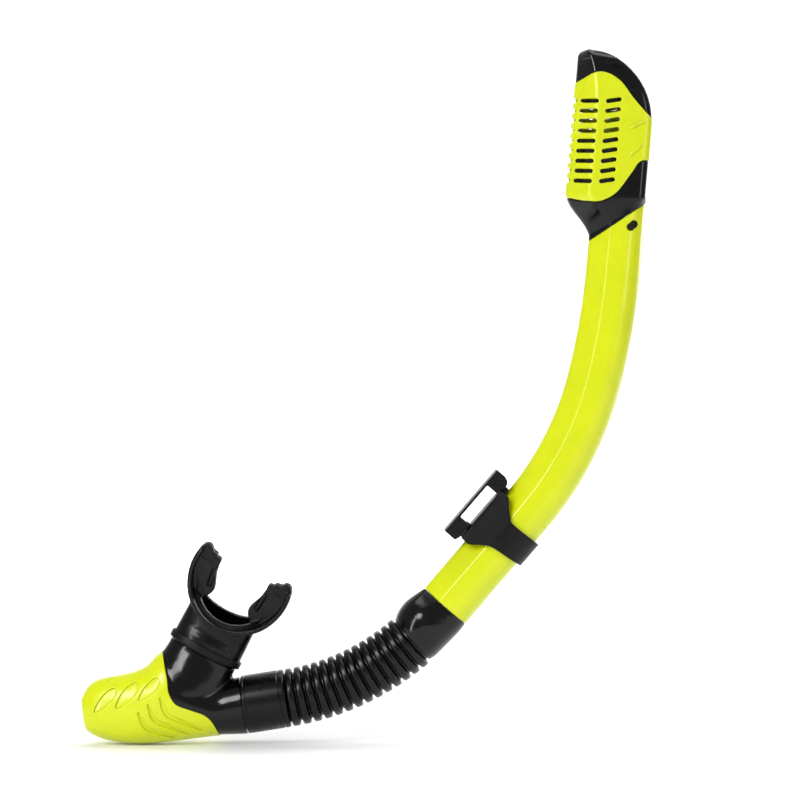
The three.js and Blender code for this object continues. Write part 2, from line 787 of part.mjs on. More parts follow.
function corrugatedHose() {
  const pitch = BELLOWS_LENGTH / HOSE.ribs;
  const start = couplingEnd + 0.9;
  const outer = [
    [couplingEnd - 13.5, HOSE.pocketOut - GAP],
    [start, HOSE.pocketOut - GAP],
  ];
  const inner = [
    [couplingEnd - 13.5, HOSE.pocketIn + GAP],
    [start, HOSE.pocketIn + 1.2],
  ];
  for (let rib = 0; rib < HOSE.ribs; rib++) {
    const at = start + rib * pitch * 0.985;
    outer.push(
      [at + 0.12 * pitch, HOSE.valley],
      [at + 0.3 * pitch, HOSE.crest],
      [at + 0.82 * pitch, HOSE.crest],
      [at + pitch * 0.96, HOSE.valley],
    );
    inner.push([at + 0.1 * pitch, HOSE.valley - HOSE.wall], [at + 0.56 * pitch, HOSE.crest - HOSE.wall]);
  }
  const end = bellowsEnd + CUFF_LENGTH - GAP;
  outer.push([bellowsEnd + 0.4, HOSE.cuff], [end, HOSE.cuff]);
  inner.push(
    [bellowsEnd + 0.8, HOSE.valley - HOSE.wall],
    [bellowsEnd + 3.6, HOSE.cuffBore],
    [end, HOSE.cuffBore],
  );
  return hoseWall([...outer, ...inner.reverse()]);
}

// ---------- Chamber, purge valve and mouthpiece ----------
// In the chamber's frame z runs towards the hose and x down. Each nozzle ring is
// [z, top, bottom, half depth]; each trunk ring, in the port's frame, [z, half width, half depth].
const NOZZLE = [
  [-0.4, -17, 17.4, 17],
  [-8, -16.2, 16.5, 16.6],
  [-17, -15.6, 15.4, 16.6],
  [-30, -27, 15, 18.5],
  [-43, -38.4, 14.6, 19],
  [-55, -31.6, 14, 18],
  [-65, -29.4, 12.9, 16.8],
  [-75, -29, 10.8, 15.4],
  [-84, -28.4, 7.8, 13.6],
  [-90, -25.6, 4.8, 11.4],
  [-94.6, -20.4, 1.2, 8.6],
  [-97, -15, -2.8, 6.4],
];
const TRUNK = [
  [-3.6, 21.5, 13.4],
  [-8, 21.6, 14.3],
  [-18, 22.8, 17],
  [-30, 24, 18.4],
  [-42, 19, 16],
];
const PIPE = { spigot: 14.7, reach: 20 };
const CHAMBER_WALL = 2.2;
const OUTLET = { x: -9.6, halfX: 9, halfY: 7.5 };
// Where the yellow purge cover meets the black body, in (x, z) of the chamber's frame.
const COVER_LINE = [
  [-56, -45],
  [-39, -43],
  [-25, -41.6],
  [-16, -41.6],
  [-8.5, -38.4],
  [-3.5, -30],
  [1, -22.6],
  [8, -18.4],
  [24, -15.5],
];

function chamberForm(grow, outer) {
  const nozzle = loft(
    (outer ? NOZZLE : NOZZLE.slice(1, -2)).map(([z, top, bottom, half]) =>
      level(oval((bottom - top) / 2 + grow, half + grow, (bottom + top) / 2), z),
    ),
  );
  const trunk = loft(
    (outer ? TRUNK : TRUNK.slice(1)).map(([z, halfX, halfY]) =>
      level(oval(halfX + grow, halfY + grow), z),
    ),
  );
  const port = shifted({ x: 0, z: 0, lean: 0 }, PORT.x, PORT.z, PORT.turn);
  return joined(nozzle, inFrame(trunk, port));
}

const MOUTH_SPIGOT = { halfX: 18.8, halfY: 10.7, wall: 1.8, up: 5.5 };
const inPort = (made) =>
  inFrame(made, shifted({ x: 0, z: 0, lean: 0 }, PORT.x, PORT.z, PORT.turn));
const coverSide = (shift) => slab(sideOf(COVER_LINE, -160, shift), THROUGH / 2);

function chamberBody() {
  const body = joined(
    without(chamberForm(0, true), coverSide(GAP)),
    rod(PIPE.spigot, -2, PIPE.reach),
    inPort(loft([-8, MOUTH_SPIGOT.up].map((z) => level(oval(MOUTH_SPIGOT.halfX, MOUTH_SPIGOT.halfY), z)))),
  );
  const { halfX, halfY, wall, up } = MOUTH_SPIGOT;
  const mouthBore = inPort(
    loft([-12, up + 1].map((z) => level(oval(halfX - wall, halfY - wall), z))),
  );
  return without(
    body,
    chamberForm(-CHAMBER_WALL, false),
    rod(PIPE.spigot - CHAMBER_WALL, -10, PIPE.reach + 1),
    mouthBore,
  );
}

function purgeCover() {
  const form = chamberForm(0.4, true).intersect(coverSide(0));
  const outlet = loft(
    [-110, -80].map((z) => level(oval(OUTLET.halfX, OUTLET.halfY, OUTLET.x), z)),
  );
  return without(form, chamberForm(-CHAMBER_WALL, false), outlet);
}

// The purge seat: a plate across the chamber's sloping mouth. Its own frame has z outwards.
const PURGE = { x: -9.6, z: -33.5, turn: 154.3, radius: 12.5, thick: 2.4, hub: 3.2, spoke: 1.8 };
const purgeFrame = shifted(chamberFrame, PURGE.x, PURGE.z, PURGE.turn);
const inPurge = (made) =>
  inFrame(made, shifted({ x: 0, z: 0, lean: 0 }, PURGE.x, PURGE.z, PURGE.turn));

function purgeSeat() {
  const slice = inPurge(block(-60, 60, -40, 40, -PURGE.thick, 0));
  const plate = slice.intersect(chamberForm(-CHAMBER_WALL - GAP, false));
  const aperture = inPurge(
    without(
      rod(PURGE.radius, -PURGE.thick - 1, 1),
      rod(PURGE.hub, -10, 10, "z", 0, 0, 20),
      ...[0, 60, 120].map((a) =>
        block(-40, 40, -PURGE.spoke / 2, PURGE.spoke / 2, -10, 10).rotate([0, 0, a]),
      ),
    ),
  );
  const stemHole = inPurge(rod(1.5, -10, 10, "z", 0, 0, 16));
  const lip = inPurge(without(rod(PURGE.radius + 1.2, -1, 0.6), rod(PURGE.radius, -2, 2)));
  return without(joined(plate, lip), aperture, stemHole);
}

// The flap: a thin silicone mushroom, domed over the seat, with a stem through the hub.
function purgeFlap() {
  const profile = [
    [0, -4.4],
    [0.9, -4.4],
    [1.15, -3.2],
    [1.15, 1],
    [5, 0.95],
    [PURGE.radius + 2, 0.9],
    [PURGE.radius + 2, 1.5],
    [6, 2],
    [0, 2.6],
  ].map(([r, z]) => new THREE.Vector2(r, z));
  return solid(new THREE.LatheGeometry(profile, 32).rotateX(Math.PI / 2));
}

// ---------- Mouthpiece: a sleeve, a curved lip shield and two bite wings ----------
const SLEEVE = { halfX: 21.6, halfY: 13.3, wall: 2.3, low: -3.3 };
const SHIELD = { centre: 50, radius: 31.3, thick: 2.6, halfX: 36, halfY: 13.7, tip: 8, top: 57.5 };
const LIP = 2.2; // the rim round the airway, proud of the shield
const BITE = { thick: 4.4, lug: 3.6 };
// One bite wing in (x, z) of the port's frame; the other is its mirror image.
const WING = [
  [-29, 33],
  [-30.5, 42],
  [-31, 50],
  [-30.4, 56.5],
  [-28.4, 61],
  [-25, 61.7],
  [-22.6, 59.2],
  [-20.4, 57],
  [-16, 56.4],
  [-15.6, 52],
  [-14.6, 46],
  [-12.2, 39],
  [-11.8, 35.4],
  [-13.6, 31.4],
  [-18, 27.4],
  [-24, 29],
];

function mirroredX(made) {
  return joined(made, made.scale([-1, 1, 1]));
}

// The sleeve's section at a height: the neck keeps its width and flattens towards the mouth.
function sleeveRing(grow, z) {
  const flat = smooth((z - 4) / 18);
  const narrow = grow < 0 ? 1.5 : 0.4;
  const outline = oval(SLEEVE.halfX - narrow * flat + grow, SLEEVE.halfY - 3.7 * flat + grow);
  const turn = radians(MOUTH_TILT) * smooth((z - MOUTH_PIVOT + 6) / 12);
  return level(outline, z).map((p) => {
    const [y, up] = [p.y, p.z - MOUTH_PIVOT];
    return new THREE.Vector3(
      p.x,
      y * Math.cos(turn) - up * Math.sin(turn),
      MOUTH_PIVOT + y * Math.sin(turn) + up * Math.cos(turn),
    );
  });
}

function mouthpiece() {
  const sleeve = (grow, low, high) =>
    loft([low, 2, 5, 8, 11, 14, 18, 24, high].map((z) => sleeveRing(grow, z)));
  const drum = (radius) => rod(radius, -40, 40, "y", 0, SHIELD.centre, 48);
  const blank = loft([
    level(oval(SHIELD.halfX, SHIELD.halfY), 12),
    level(oval(SHIELD.halfX, SHIELD.halfY), 34),
    level(oval(SHIELD.halfX, SHIELD.tip + 2.5), 50),
    level(oval(SHIELD.halfX, SHIELD.tip), SHIELD.top),
  ]);
  const shield = without(drum(SHIELD.radius), drum(SHIELD.radius - SHIELD.thick));
  const lug = slab(
    polygon([
      [-16.6, 38],
      [-14.6, 38.6],
      [-15.9, 50.4],
      [-17.9, 50],
    ]),
    BITE.lug,
  );
  const mouthEnd = joined(
    shield.intersect(blank),
    mirroredX(slab(polygon(WING), BITE.thick / 2).intersect(drum(SHIELD.radius))),
    mirroredX(lug),
  );
  const tip = (made) =>
    made.translate([0, 0, -MOUTH_PIVOT]).rotate([MOUTH_TILT, 0, 0]).translate([0, 0, MOUTH_PIVOT]);
  const neck = without(sleeve(0, SLEEVE.low, 44), tip(drum(SHIELD.radius - SHIELD.thick - LIP)));
  // The airway opens between the wings, so it stops short of them.
  const airway = sleeve(-SLEEVE.wall, SLEEVE.low - 1, 29);
  return without(joined(neck, tip(mouthEnd)), airway);
}

function mouthpieceTie() {
  const band = (grow, low, high) =>
    loft([low, high].map((z) => level(oval(SLEEVE.halfX + grow, SLEEVE.halfY + grow), z)));
  const head = block(-3.4, 3.4, SLEEVE.halfY + 0.8, SLEEVE.halfY + 4.4, -2.9, 2.4);
  return without(joined(band(1.5, -2.4, 1.9), head), band(GAP, -5, 5));
}

// ---------- The assembly ----------
add("barrel_tube", barrelTube(), "yellow");
add("top_collar", topCollar(), "black", topFrame);
add("top_oring", topOring(), "silicone", topFrame);
add("latch_tab_near", latchTab(-1), "satin", topFrame);
add("latch_tab_far", latchTab(1), "satin", topFrame);
add("inlet_duct", inletDuct(), "black", topFrame);
add("float_shell", floatShell(), "drum", topFrame);
add("float_lid", floatLid(), "drum", topFrame);
add("float_seal", floatSeal(), "silicone", topFrame);
add("vent_guard", ventGuard(), "yellow", topFrame);
add("top_cap", topSkin.intersect(aboveCap), "black", topFrame);
add("keeper_clip", keeperClip(), "satin", keeperFrame);
add("keeper_gate", keeperGate(), "satin", keeperFrame);
add("gate_pin", gatePin(), "satin", keeperFrame);
add("hose_coupling", hoseCoupling(), "black");
add("coupling_oring", couplingOring(), "silicone", barrelEnd);
add("corrugated_hose", corrugatedHose(), "silicone");
add("chamber_body", chamberBody(), "black", chamberFrame);
add("purge_cover", purgeCover(), "yellow", chamberFrame);
add("purge_seat", purgeSeat(), "satin", chamberFrame);
add("purge_flap", purgeFlap(), "silicone", purgeFrame);
add("mouthpiece", mouthpiece(), "silicone", portFrame);
add("mouthpiece_tie", mouthpieceTie(), "satin", portFrame);

export default snorkel;
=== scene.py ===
"""The looks of a dry snorkel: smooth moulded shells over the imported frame, in soft light.

Shapes are drawn in millimetres in the frame of their part of the tube, and become metres
in the row's frame when a piece is placed. A frame is (x, z, lean): its z runs up the tube,
its x to the back, and y stays the row's y.
"""
import json
import math

import bmesh
import bpy
import numpy as np
from mathutils import Matrix, Vector
from mathutils.bvhtree import BVHTree


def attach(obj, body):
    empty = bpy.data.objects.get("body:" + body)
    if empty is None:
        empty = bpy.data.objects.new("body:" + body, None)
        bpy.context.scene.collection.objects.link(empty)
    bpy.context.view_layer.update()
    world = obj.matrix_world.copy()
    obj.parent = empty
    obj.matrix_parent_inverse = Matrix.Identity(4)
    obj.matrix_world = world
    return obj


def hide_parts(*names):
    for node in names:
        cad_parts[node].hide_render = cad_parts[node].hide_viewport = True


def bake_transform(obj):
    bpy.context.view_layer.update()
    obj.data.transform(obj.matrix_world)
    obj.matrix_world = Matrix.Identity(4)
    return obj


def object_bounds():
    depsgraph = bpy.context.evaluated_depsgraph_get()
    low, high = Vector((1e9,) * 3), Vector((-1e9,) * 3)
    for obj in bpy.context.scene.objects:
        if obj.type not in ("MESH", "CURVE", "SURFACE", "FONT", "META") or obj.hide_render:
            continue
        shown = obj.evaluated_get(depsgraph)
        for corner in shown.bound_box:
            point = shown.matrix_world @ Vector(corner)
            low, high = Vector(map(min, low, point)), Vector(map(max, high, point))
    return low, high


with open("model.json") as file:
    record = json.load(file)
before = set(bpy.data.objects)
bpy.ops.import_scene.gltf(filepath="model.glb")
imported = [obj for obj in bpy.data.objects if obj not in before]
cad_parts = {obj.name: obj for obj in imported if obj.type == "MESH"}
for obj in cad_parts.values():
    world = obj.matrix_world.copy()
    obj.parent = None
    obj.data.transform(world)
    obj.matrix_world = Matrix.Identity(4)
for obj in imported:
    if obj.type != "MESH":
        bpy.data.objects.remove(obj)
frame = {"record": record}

CAD_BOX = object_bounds()

# ---------- Driving dimensions, in millimetres and degrees ----------
COUNT = 96  # points round a section
GAP = 0.3
WALL = 2
GUARD_PROUD = 0.5
EDGE = 0.6  # rounding of the shells' edges
SPACING = 1.3  # about how far apart the filled-in columns of points lie
SPLIT_ANGLE = math.radians(38)  # edges that turn more than this are drawn sharp

KEEPER = (13.337, -15.165, 40.7)
KEEPER_TO_TOP = [(18, 0), (90.2, -26.5), (67.9, -9.2), (27, 0)]
KEEPER_TO_END = 56
COUPLING_STRAIGHT = 8
COUPLING_END = 28
BELLOWS_END = COUPLING_END + 83.7
CHAMBER_AT = BELLOWS_END + 26.7
HOSE_RADIUS = 147.4
PORT = (-37, -17.3, -53.3)  # in the chamber's frame
MOUTH_TILT = 20
MOUTH_PIVOT = 10

BARREL = [(-9.5, 0, 6.5), (-3.5, 10, 3), (-3.5, -10, 3), (3.2, 0, 13.3)]
SEAM_SLOPE = math.tan(math.radians(37.9))
SOCKET_RADIUS, SOCKET_DEPTH = 11.4, 14.5


# ---------- Frames ----------
def walk(place, length, turn):
    half = math.radians(turn) / 2
    chord = length if abs(half) < 1e-9 else length * math.sin(half) / half
    heading = math.radians(place[2]) + half
    x = place[0] + chord * math.sin(heading)
    z = place[1] + chord * math.cos(heading)
    return (x, z, place[2] + turn)


def shifted(place, x, z, turn=0):
    lean = math.radians(place[2])
    return (
        place[0] + x * math.cos(lean) + z * math.sin(lean),
        place[1] - x * math.sin(lean) + z * math.cos(lean),
        place[2] + turn,
    )


def matrix(place):
    turn = Matrix.Rotation(math.radians(place[2]), 4, "Y")
    return Matrix.Translation((place[0], 0, place[1])) @ turn


def placed(points, place):
    """Points of a frame, as an array, in the frame that holds it."""
    m = np.array(matrix(place))
    return points @ m[:3, :3].T + m[:3, 3]


def hose_at(distance):
    """The frame at a distance down the hose's line from the barrel's end."""
    straight = min(distance, COUPLING_STRAIGHT)
    bent = min(max(distance - COUPLING_STRAIGHT, 0), BELLOWS_END - COUPLING_STRAIGHT)
    cuff = max(distance - BELLOWS_END, 0)
    place = walk(BARREL_END, -straight, 0)
    place = walk(place, -bent, math.degrees(bent / HOSE_RADIUS))
    return walk(place, -cuff, 0)


def barrel_frames(step):
    places = [BARREL_END]
    for length, turn in [(KEEPER_TO_END, 0), *KEEPER_TO_TOP]:
        parts = max(1, round(length / step))
        for _ in range(parts):
            places.append(walk(places[-1], length / parts, turn / parts))
    return places


BARREL_END = walk(KEEPER, -KEEPER_TO_END, 0)
TOP = barrel_frames(5)[-1]
CHAMBER = hose_at(CHAMBER_AT)
MOUTH = shifted(CHAMBER, *PORT)


# ---------- Outlines and rings ----------
ANGLES = (np.arange(COUNT) + 0.5) * 2 * math.pi / COUNT
ROUND = np.stack([np.cos(ANGLES), np.sin(ANGLES)], axis=1)


def smooth(t):
    k = np.clip(t, 0, 1)
    return k * k * (3 - 2 * k)


def section(circles, grow=0.0):
    """The hull of circles (x, y, r), each grown, as one point for each way out."""
    circles = np.asarray(circles, float)
    reach = ROUND @ circles[:, :2].T + circles[:, 2]
    best = circles[np.argmax(reach, axis=1)]
    return best[:, :2] + (best[:, 2:] + grow) * ROUND


def oval(half_x, half_y, x=0.0):
    return ROUND * (half_x, half_y) + (x, 0)


def filled(grid, reference):
    """Adds columns to a grid of rings wherever the reference ring's points lie far apart."""
    made = []
    for i in range(len(reference)):
        j = (i + 1) % len(reference)
        apart = float(np.linalg.norm(reference[j] - reference[i]))
        parts = max(1, round(apart / SPACING))
        for k in np.arange(parts) / parts:
            made.append(grid[:, i] * (1 - k) + grid[:, j] * k)
    return np.stack(made, axis=1)


def level(outline, z, slope=0.0):
    return np.column_stack([outline, z + slope * outline[:, 0]])


def spline(points, samples):
    """A smooth line of many points through a few, each a row of numbers."""
    p = np.asarray(points, float)
    p = np.vstack([2 * p[0] - p[1], p, 2 * p[-1] - p[-2]])
    made = []
    for t in np.linspace(0, len(points) - 1, samples):
        i = min(int(t), len(points) - 2)
        k = t - i
        a, b, c, d = p[i : i + 4]
        made.append(
            0.5 * (2 * b + (c - a) * k + (2 * a - 5 * b + 4 * c - d) * k**2)
            + 0.5 * (3 * b - a - 3 * c + d) * k**3
        )
    return np.array(made)


def between(a, b, k):
    return [tuple(p + (q - p) * k for p, q in zip(m, n)) for m, n in zip(a, b)]


def stadium(length, width, x=0.0, z=0.0, tilt=0.0, grow=0.0, count=16):
    """A slot's outline in (x, z)."""
    half, turn = (length - width) / 2, math.radians(tilt)
    made = []
    for side in (1, -1):
        for a in np.linspace(-math.pi / 2, math.pi / 2, count):
            r = width / 2 + grow
            a += turn + (0 if side > 0 else math.pi)
            made.append(
                (
                    x + side * half * math.cos(turn) + r * math.cos(a),
                    z + side * half * math.sin(turn) + r * math.sin(a),
                )
            )
    return np.array(made)


# ---------- Solids ----------
def solid(rows, closed=False):
    """A closed mesh over rings of points; closed joins the last ring to the first."""
    rows = np.asarray(rows)
    count, n = rows.shape[:2]
    faces = []
    for r in range(count if closed else count - 1):
        low, high = r * n, (r + 1) % count * n
        faces += [
            (low + i, low + (i + 1) % n, high + (i + 1) % n, high + i) for i in range(n)
        ]
    if not closed:
        faces += [tuple(range(n))[::-1], tuple(range((count - 1) * n, count * n))]
    mesh = bpy.data.meshes.new("solid")
    mesh.from_pydata(rows.reshape(-1, 3).tolist(), [], faces)
    made = bmesh.new()
    made.from_mesh(mesh)
    bmesh.ops.recalc_face_normals(made, faces=made.faces)
    if made.calc_volume(signed=True) < 0:
        bmesh.ops.reverse_faces(made, faces=made.faces)
    made.to_mesh(mesh)
    made.free()
    obj = bpy.data.objects.new("solid", mesh)
    bpy.context.scene.collection.objects.link(obj)
    return obj


def slab(outline, half, other=None):
    """An outline in (x, z), drawn through y."""
    other = -half if other is None else other
    outline = np.asarray(outline, float)
    return solid([np.insert(outline, 1, y, axis=1) for y in (half, other)])


def block(x0, x1, y0, y1, z0, z1):
    ring = np.array([(x0, y0), (x1, y0), (x1, y1), (x0, y1)], float)
    return solid([level(ring, z0), level(ring, z1)])


def rod(radius, low, high, axis="z", x=0.0, y=0.0):
    """A cylinder along z at (x, y), or along y with its axis at x and z = y."""
    if axis == "z":
        return solid([level(ROUND * radius + (x, y), z) for z in (low, high)])
    return slab(ROUND * radius + (x, y), low, high)


def moved(obj, place):
    obj.data.transform(matrix(place))
    return obj


def copied(obj):
    twin = bpy.data.objects.new(obj.name, obj.data.copy())
    bpy.context.scene.collection.objects.link(twin)
    return twin


def settled(obj):
    """Applies the object's modifiers to its mesh."""
    graph = bpy.context.evaluated_depsgraph_get()
    mesh = bpy.data.meshes.new_from_object(obj.evaluated_get(graph))
    obj.modifiers.clear()
    obj.data = mesh
    return obj


def combined(obj, tools, operation):
    for tool in tools:
        modifier = obj.modifiers.new("combine", "BOOLEAN")
        modifier.object = tool
        modifier.operation = operation
        modifier.solver = "MANIFOLD"
        settled(obj)
        if not obj.data.polygons:
            raise RuntimeError(f"{operation} left nothing of {obj.name} after {tool.name}")
        bpy.data.objects.remove(tool)
    return obj


def joined(obj, *tools):
    return combined(obj, tools, "UNION")


def without(obj, *tools):
    return combined(obj, tools, "DIFFERENCE")


def within(obj, *tools):
    return combined(obj, tools, "INTERSECT")


def softened(obj, voxel, rounds):
    """The same form remeshed evenly, with its edges and joins melted together."""
    remesh = obj.modifiers.new("remesh", "REMESH")
    remesh.mode = "VOXEL"
    remesh.voxel_size = voxel
    relax = obj.modifiers.new("relax", "SMOOTH")
    relax.iterations = rounds
    relax.factor = 0.5
    return settled(obj)


def grown(obj, distance):
    """A form moved out along its normals."""
    push = obj.modifiers.new("push", "DISPLACE")
    push.mid_level = 0
    push.strength = distance
    return settled(obj)


def merged(obj, *others):
    """Several closed forms in one mesh."""
    made = bmesh.new()
    for part in (obj, *others):
        made.from_mesh(part.data)
    made.to_mesh(obj.data)
    made.free()
    for part in others:
        bpy.data.objects.remove(part)
    return obj


# ---------- Shapes laid on a surface, which a ray finds along y ----------
THROUGH = 2.0  # how near the middle plane a cutter through a wall reaches
RIDGE_ROOT = 0.5  # how deep a ridge is sunk


def surface(obj):
    graph = bpy.context.evaluated_depsgraph_get()
    return BVHTree.FromObject(obj, graph)


def on_surface(tree, x, z, side):
    """The outermost point at (x, z) on one side of y, and the normal there."""
    for pull in (0, 0.5, 1, 2, 3, 5):
        aim = Vector((x * (1 - pull / 40), side * 80, z))
        point, normal, _, _ = tree.ray_cast(aim, Vector((0, -side, 0)))
        if point:
            return Vector((x, point.y, z)), normal
    return Vector((x, 0, z)), Vector((0, side, 0))


def rounded_cutter(tree, outline, side, radius, depth=None):
    """Cuts an outline through a wall, or to a depth, and rounds the wall's edge.

    outline(grow, part) gives the outline in (x, z), grown, at a part of its width.
    """
    rings = []

    def ring(grow, sunk, part=1.0):
        points = outline(grow, part)
        made = [on_surface(tree, x, z, side)[0] for x, z in points]
        rings.append([(p.x, p.y - side * sunk, p.z) for p in made])

    ring(radius * 1.25, -4)
    ring(radius * 1.25, -0.2)
    for a in np.linspace(0, math.pi / 2, 5):
        ring(radius - radius * math.sin(a), radius - radius * math.cos(a))
    if depth is None:
        rings.append([(x, side * THROUGH, z) for x, _, z in rings[-1]])
    else:
        ring(0, depth, 0.9)
        ring(0, depth, 0.5)
        ring(0, depth, 0.03)
    return solid(rings)


def ridge(tree, path, side, width, height, taper):
    """A low moulded ridge along a path of (x, z)."""
    path = spline(path, 28)
    ways = np.gradient(path, axis=0)
    ways /= np.linalg.norm(ways, axis=1)[:, None]
    rows = []
    for i, (x, z) in enumerate(path):
        t = i / (len(path) - 1)
        full = float(smooth(t / taper) * smooth((1 - t) / taper)) * 0.92 + 0.08
        across = np.array([-ways[i][1], ways[i][0]]) * width / 2 * (0.4 + 0.6 * full)
        ring = []
        for s in np.linspace(-1, 1, 9):
            point, normal = on_surface(tree, x + across[0] * s, z + across[1] * s, side)
            rise = height * full * math.cos(s * math.pi / 2) ** 0.8 if abs(s) < 1 else -0.05
            ring.append(point + normal * rise)
        for s in np.linspace(1, -1, 4):
            point, normal = on_surface(tree, x + across[0] * s, z + across[1] * s, side)
            ring.append(point - normal * RIDGE_ROOT)
        rows.append(ring)
    return solid(rows)


# ---------- Materials ----------
PATCHES = 60  # patches of shade to a metre
BUMP_HEIGHT = 0.00003  # metres


def linear(colour):
    return tuple(
        c / 12.92 if c <= 0.04045 else ((c + 0.055) / 1.055) ** 2.4 for c in colour
    ) + (1.0,)


def material(name, light, dark, rough, grain, specular, grain_size=2500, coat=0.0,
             coat_rough=0.05):
    """A moulded finish: two shades in soft patches, uneven gloss, and a fine grain."""
    made = bpy.data.materials.new(name)
    made.use_nodes = True
    nodes, links = made.node_tree.nodes, made.node_tree.links
    shader = nodes["Principled BSDF"]
    where = nodes.new("ShaderNodeTexCoord")

    def noise(scale, detail):
        node = nodes.new("ShaderNodeTexNoise")
        node.inputs["Scale"].default_value = scale
        node.inputs["Detail"].default_value = detail
        node.inputs["Roughness"].default_value = 0.55
        links.new(where.outputs["Object"], node.inputs["Vector"])
        return node.outputs["Fac"]

    shades = nodes.new("ShaderNodeValToRGB")
    shades.color_ramp.elements[0].position = 0.32
    shades.color_ramp.elements[0].color = linear(dark)
    shades.color_ramp.elements[1].position = 0.68
    shades.color_ramp.elements[1].color = linear(light)
    links.new(noise(PATCHES, 3), shades.inputs["Fac"])
    links.new(shades.outputs["Color"], shader.inputs["Base Color"])

    gloss = nodes.new("ShaderNodeMapRange")
    gloss.inputs["From Min"].default_value = 0.3
    gloss.inputs["From Max"].default_value = 0.7
    gloss.inputs["To Min"].default_value = rough[0]
    gloss.inputs["To Max"].default_value = rough[1]
    links.new(noise(PATCHES * 4, 2), gloss.inputs["Value"])
    links.new(gloss.outputs["Result"], shader.inputs["Roughness"])

    fine = nodes.new("ShaderNodeBump")
    fine.inputs["Strength"].default_value = grain
    fine.inputs["Distance"].default_value = BUMP_HEIGHT
    links.new(noise(grain_size, 3), fine.inputs["Height"])
    links.new(fine.outputs["Normal"], shader.inputs["Normal"])
    shader.inputs["Specular IOR Level"].default_value = specular
    shader.inputs["Coat Weight"].default_value = coat
    shader.inputs["Coat Roughness"].default_value = coat_rough
    return made


LOOKS = {
    "yellow_plastic": material(
        "glossy_yellow", (0.79, 0.825, 0.0), (0.765, 0.805, 0.0), (0.27, 0.33),
        coat=0.25, coat_rough=0.08, grain=0.06, specular=0.35,
    ),
    "black_plastic": material(
        "glossy_black", (0.02, 0.02, 0.021), (0.008, 0.008, 0.009), (0.12, 0.22),
        coat=0.12, coat_rough=0.06, grain=0.06, specular=0.26,
    ),
    "satin_black_plastic": material(
        "satin_black", (0.045, 0.052, 0.045), (0.026, 0.03, 0.026), (0.36, 0.48),
        grain=0.5, grain_size=3500, specular=0.2,
    ),
    "black_silicone": material(
        "silicone_black", (0.02, 0.02, 0.021), (0.008, 0.008, 0.009), (0.24, 0.36),
        coat=0.15, coat_rough=0.16, grain=0.2, grain_size=1800, specular=0.18,
    ),
    "float_plastic": material(
        "float_black", (0.08, 0.08, 0.085), (0.055, 0.055, 0.06), (0.2, 0.3), grain=0.3,
        specular=0.35,
    ),
}


def piece(obj, name, place, slot, body, *nodes):
    """Puts a shape in the row's frame, in metres, to ride on a body in place of its nodes."""
    obj.name = name
    obj.data.name = name
    obj.data.transform(Matrix.Scale(0.001, 4) @ matrix(place))
    obj.data.materials.clear()
    obj.data.materials.append(LOOKS[slot])
    obj.data.shade_smooth()
    even = obj.modifiers.new("even", "EDGE_SPLIT")
    even.split_angle = SPLIT_ANGLE
    if body:
        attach(obj, body)
    if nodes:
        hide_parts(*nodes)
    return obj


HERE = (0.0, 0.0, 0.0)

# ---------- The dry top's form: a column of points up each of COUNT ways out ----------
TOP_FRONT, TOP_BACK, TOP_HALF = -32, 15.3, 19
SHOULDER, CROWN_X, CROWN_RADIUS = 59.5, -27.5, 42.7


def top_circles(front, back, half):
    width = back - front
    scale = width / (TOP_BACK - TOP_FRONT)
    nose, crest, rear = 9 * scale, 4 * scale, 6 * scale
    x = front + 0.3 * width
    return [
        (front + nose, 0, nose),
        (x, half - crest, crest),
        (x, crest - half, crest),
        (back - rear, 0.72 * half - rear, rear),
        (back - rear, rear - 0.72 * half, rear),
    ]


def back_at(z):
    if z <= SHOULDER:
        return TOP_BACK
    return CROWN_X + math.sqrt(CROWN_RADIUS**2 - (z - SHOULDER) ** 2)


def half_at(z):
    return TOP_HALF * math.sqrt(1 - 0.75 * (max(z - 55, 0) / 52) ** 2)


def top_columns(grow=0.0):
    full = top_circles(TOP_FRONT, TOP_BACK, TOP_HALF)
    start = BARREL + [BARREL[-1]]
    seam = 16 * SEAM_SLOPE
    rows = []
    for k in np.linspace(-1 / 7, 1, 33):
        front_z, back_z = -seam + (16 + seam) * k, seam + (16 - seam) * k
        flare = float(smooth((front_z + 10) / 24))
        front = -16 + (TOP_FRONT + 16) * flare
        slope = max((back_z - front_z) / (16 - front), 0)
        rows.append(level(section(between(start, full, flare), grow), front_z - slope * front, slope))
    for z in np.linspace(17.5, 97, 54):
        rows.append(level(section(top_circles(TOP_FRONT, back_at(z), half_at(z)), grow), z))
    for z, inset, back, less in [
        (98.2, 0.2, back_at(98.2), 0.2),
        (99.2, 0.6, back_at(99.2), 0.6),
        (100.1, 1.2, back_at(100.1), 1.3),
        (100.9, 2.1, back_at(100.9), 2.6),
        (101.5, 3.2, -19.4, 4.6),
        (101.85, 4.3, -21.0, 7.0),
        (102, 6.2, -22.5, 9.0),
    ]:
        rows.append(level(section(top_circles(TOP_FRONT + inset, back, half_at(z) - less), grow), z))
    return np.array(rows)


def eased(grid, first, last, rounds):
    """Rounds the bends up the columns, between two rows."""
    for _ in range(rounds):
        grid[first:last] += 0.25 * (grid[first - 1 : last - 1] - 2 * grid[first:last]
                                    + grid[first + 1 : last + 1])
    return grid


WIDEST = section(top_circles(TOP_FRONT, TOP_BACK, TOP_HALF))
EASED_ROWS, EASED_ROUNDS = (9, 46), 16
COLUMNS = eased(filled(top_columns(), WIDEST), *EASED_ROWS, EASED_ROUNDS)
OUT = filled(ROUND[None], WIDEST)[0]
OUT /= np.linalg.norm(OUT, axis=1)[:, None]


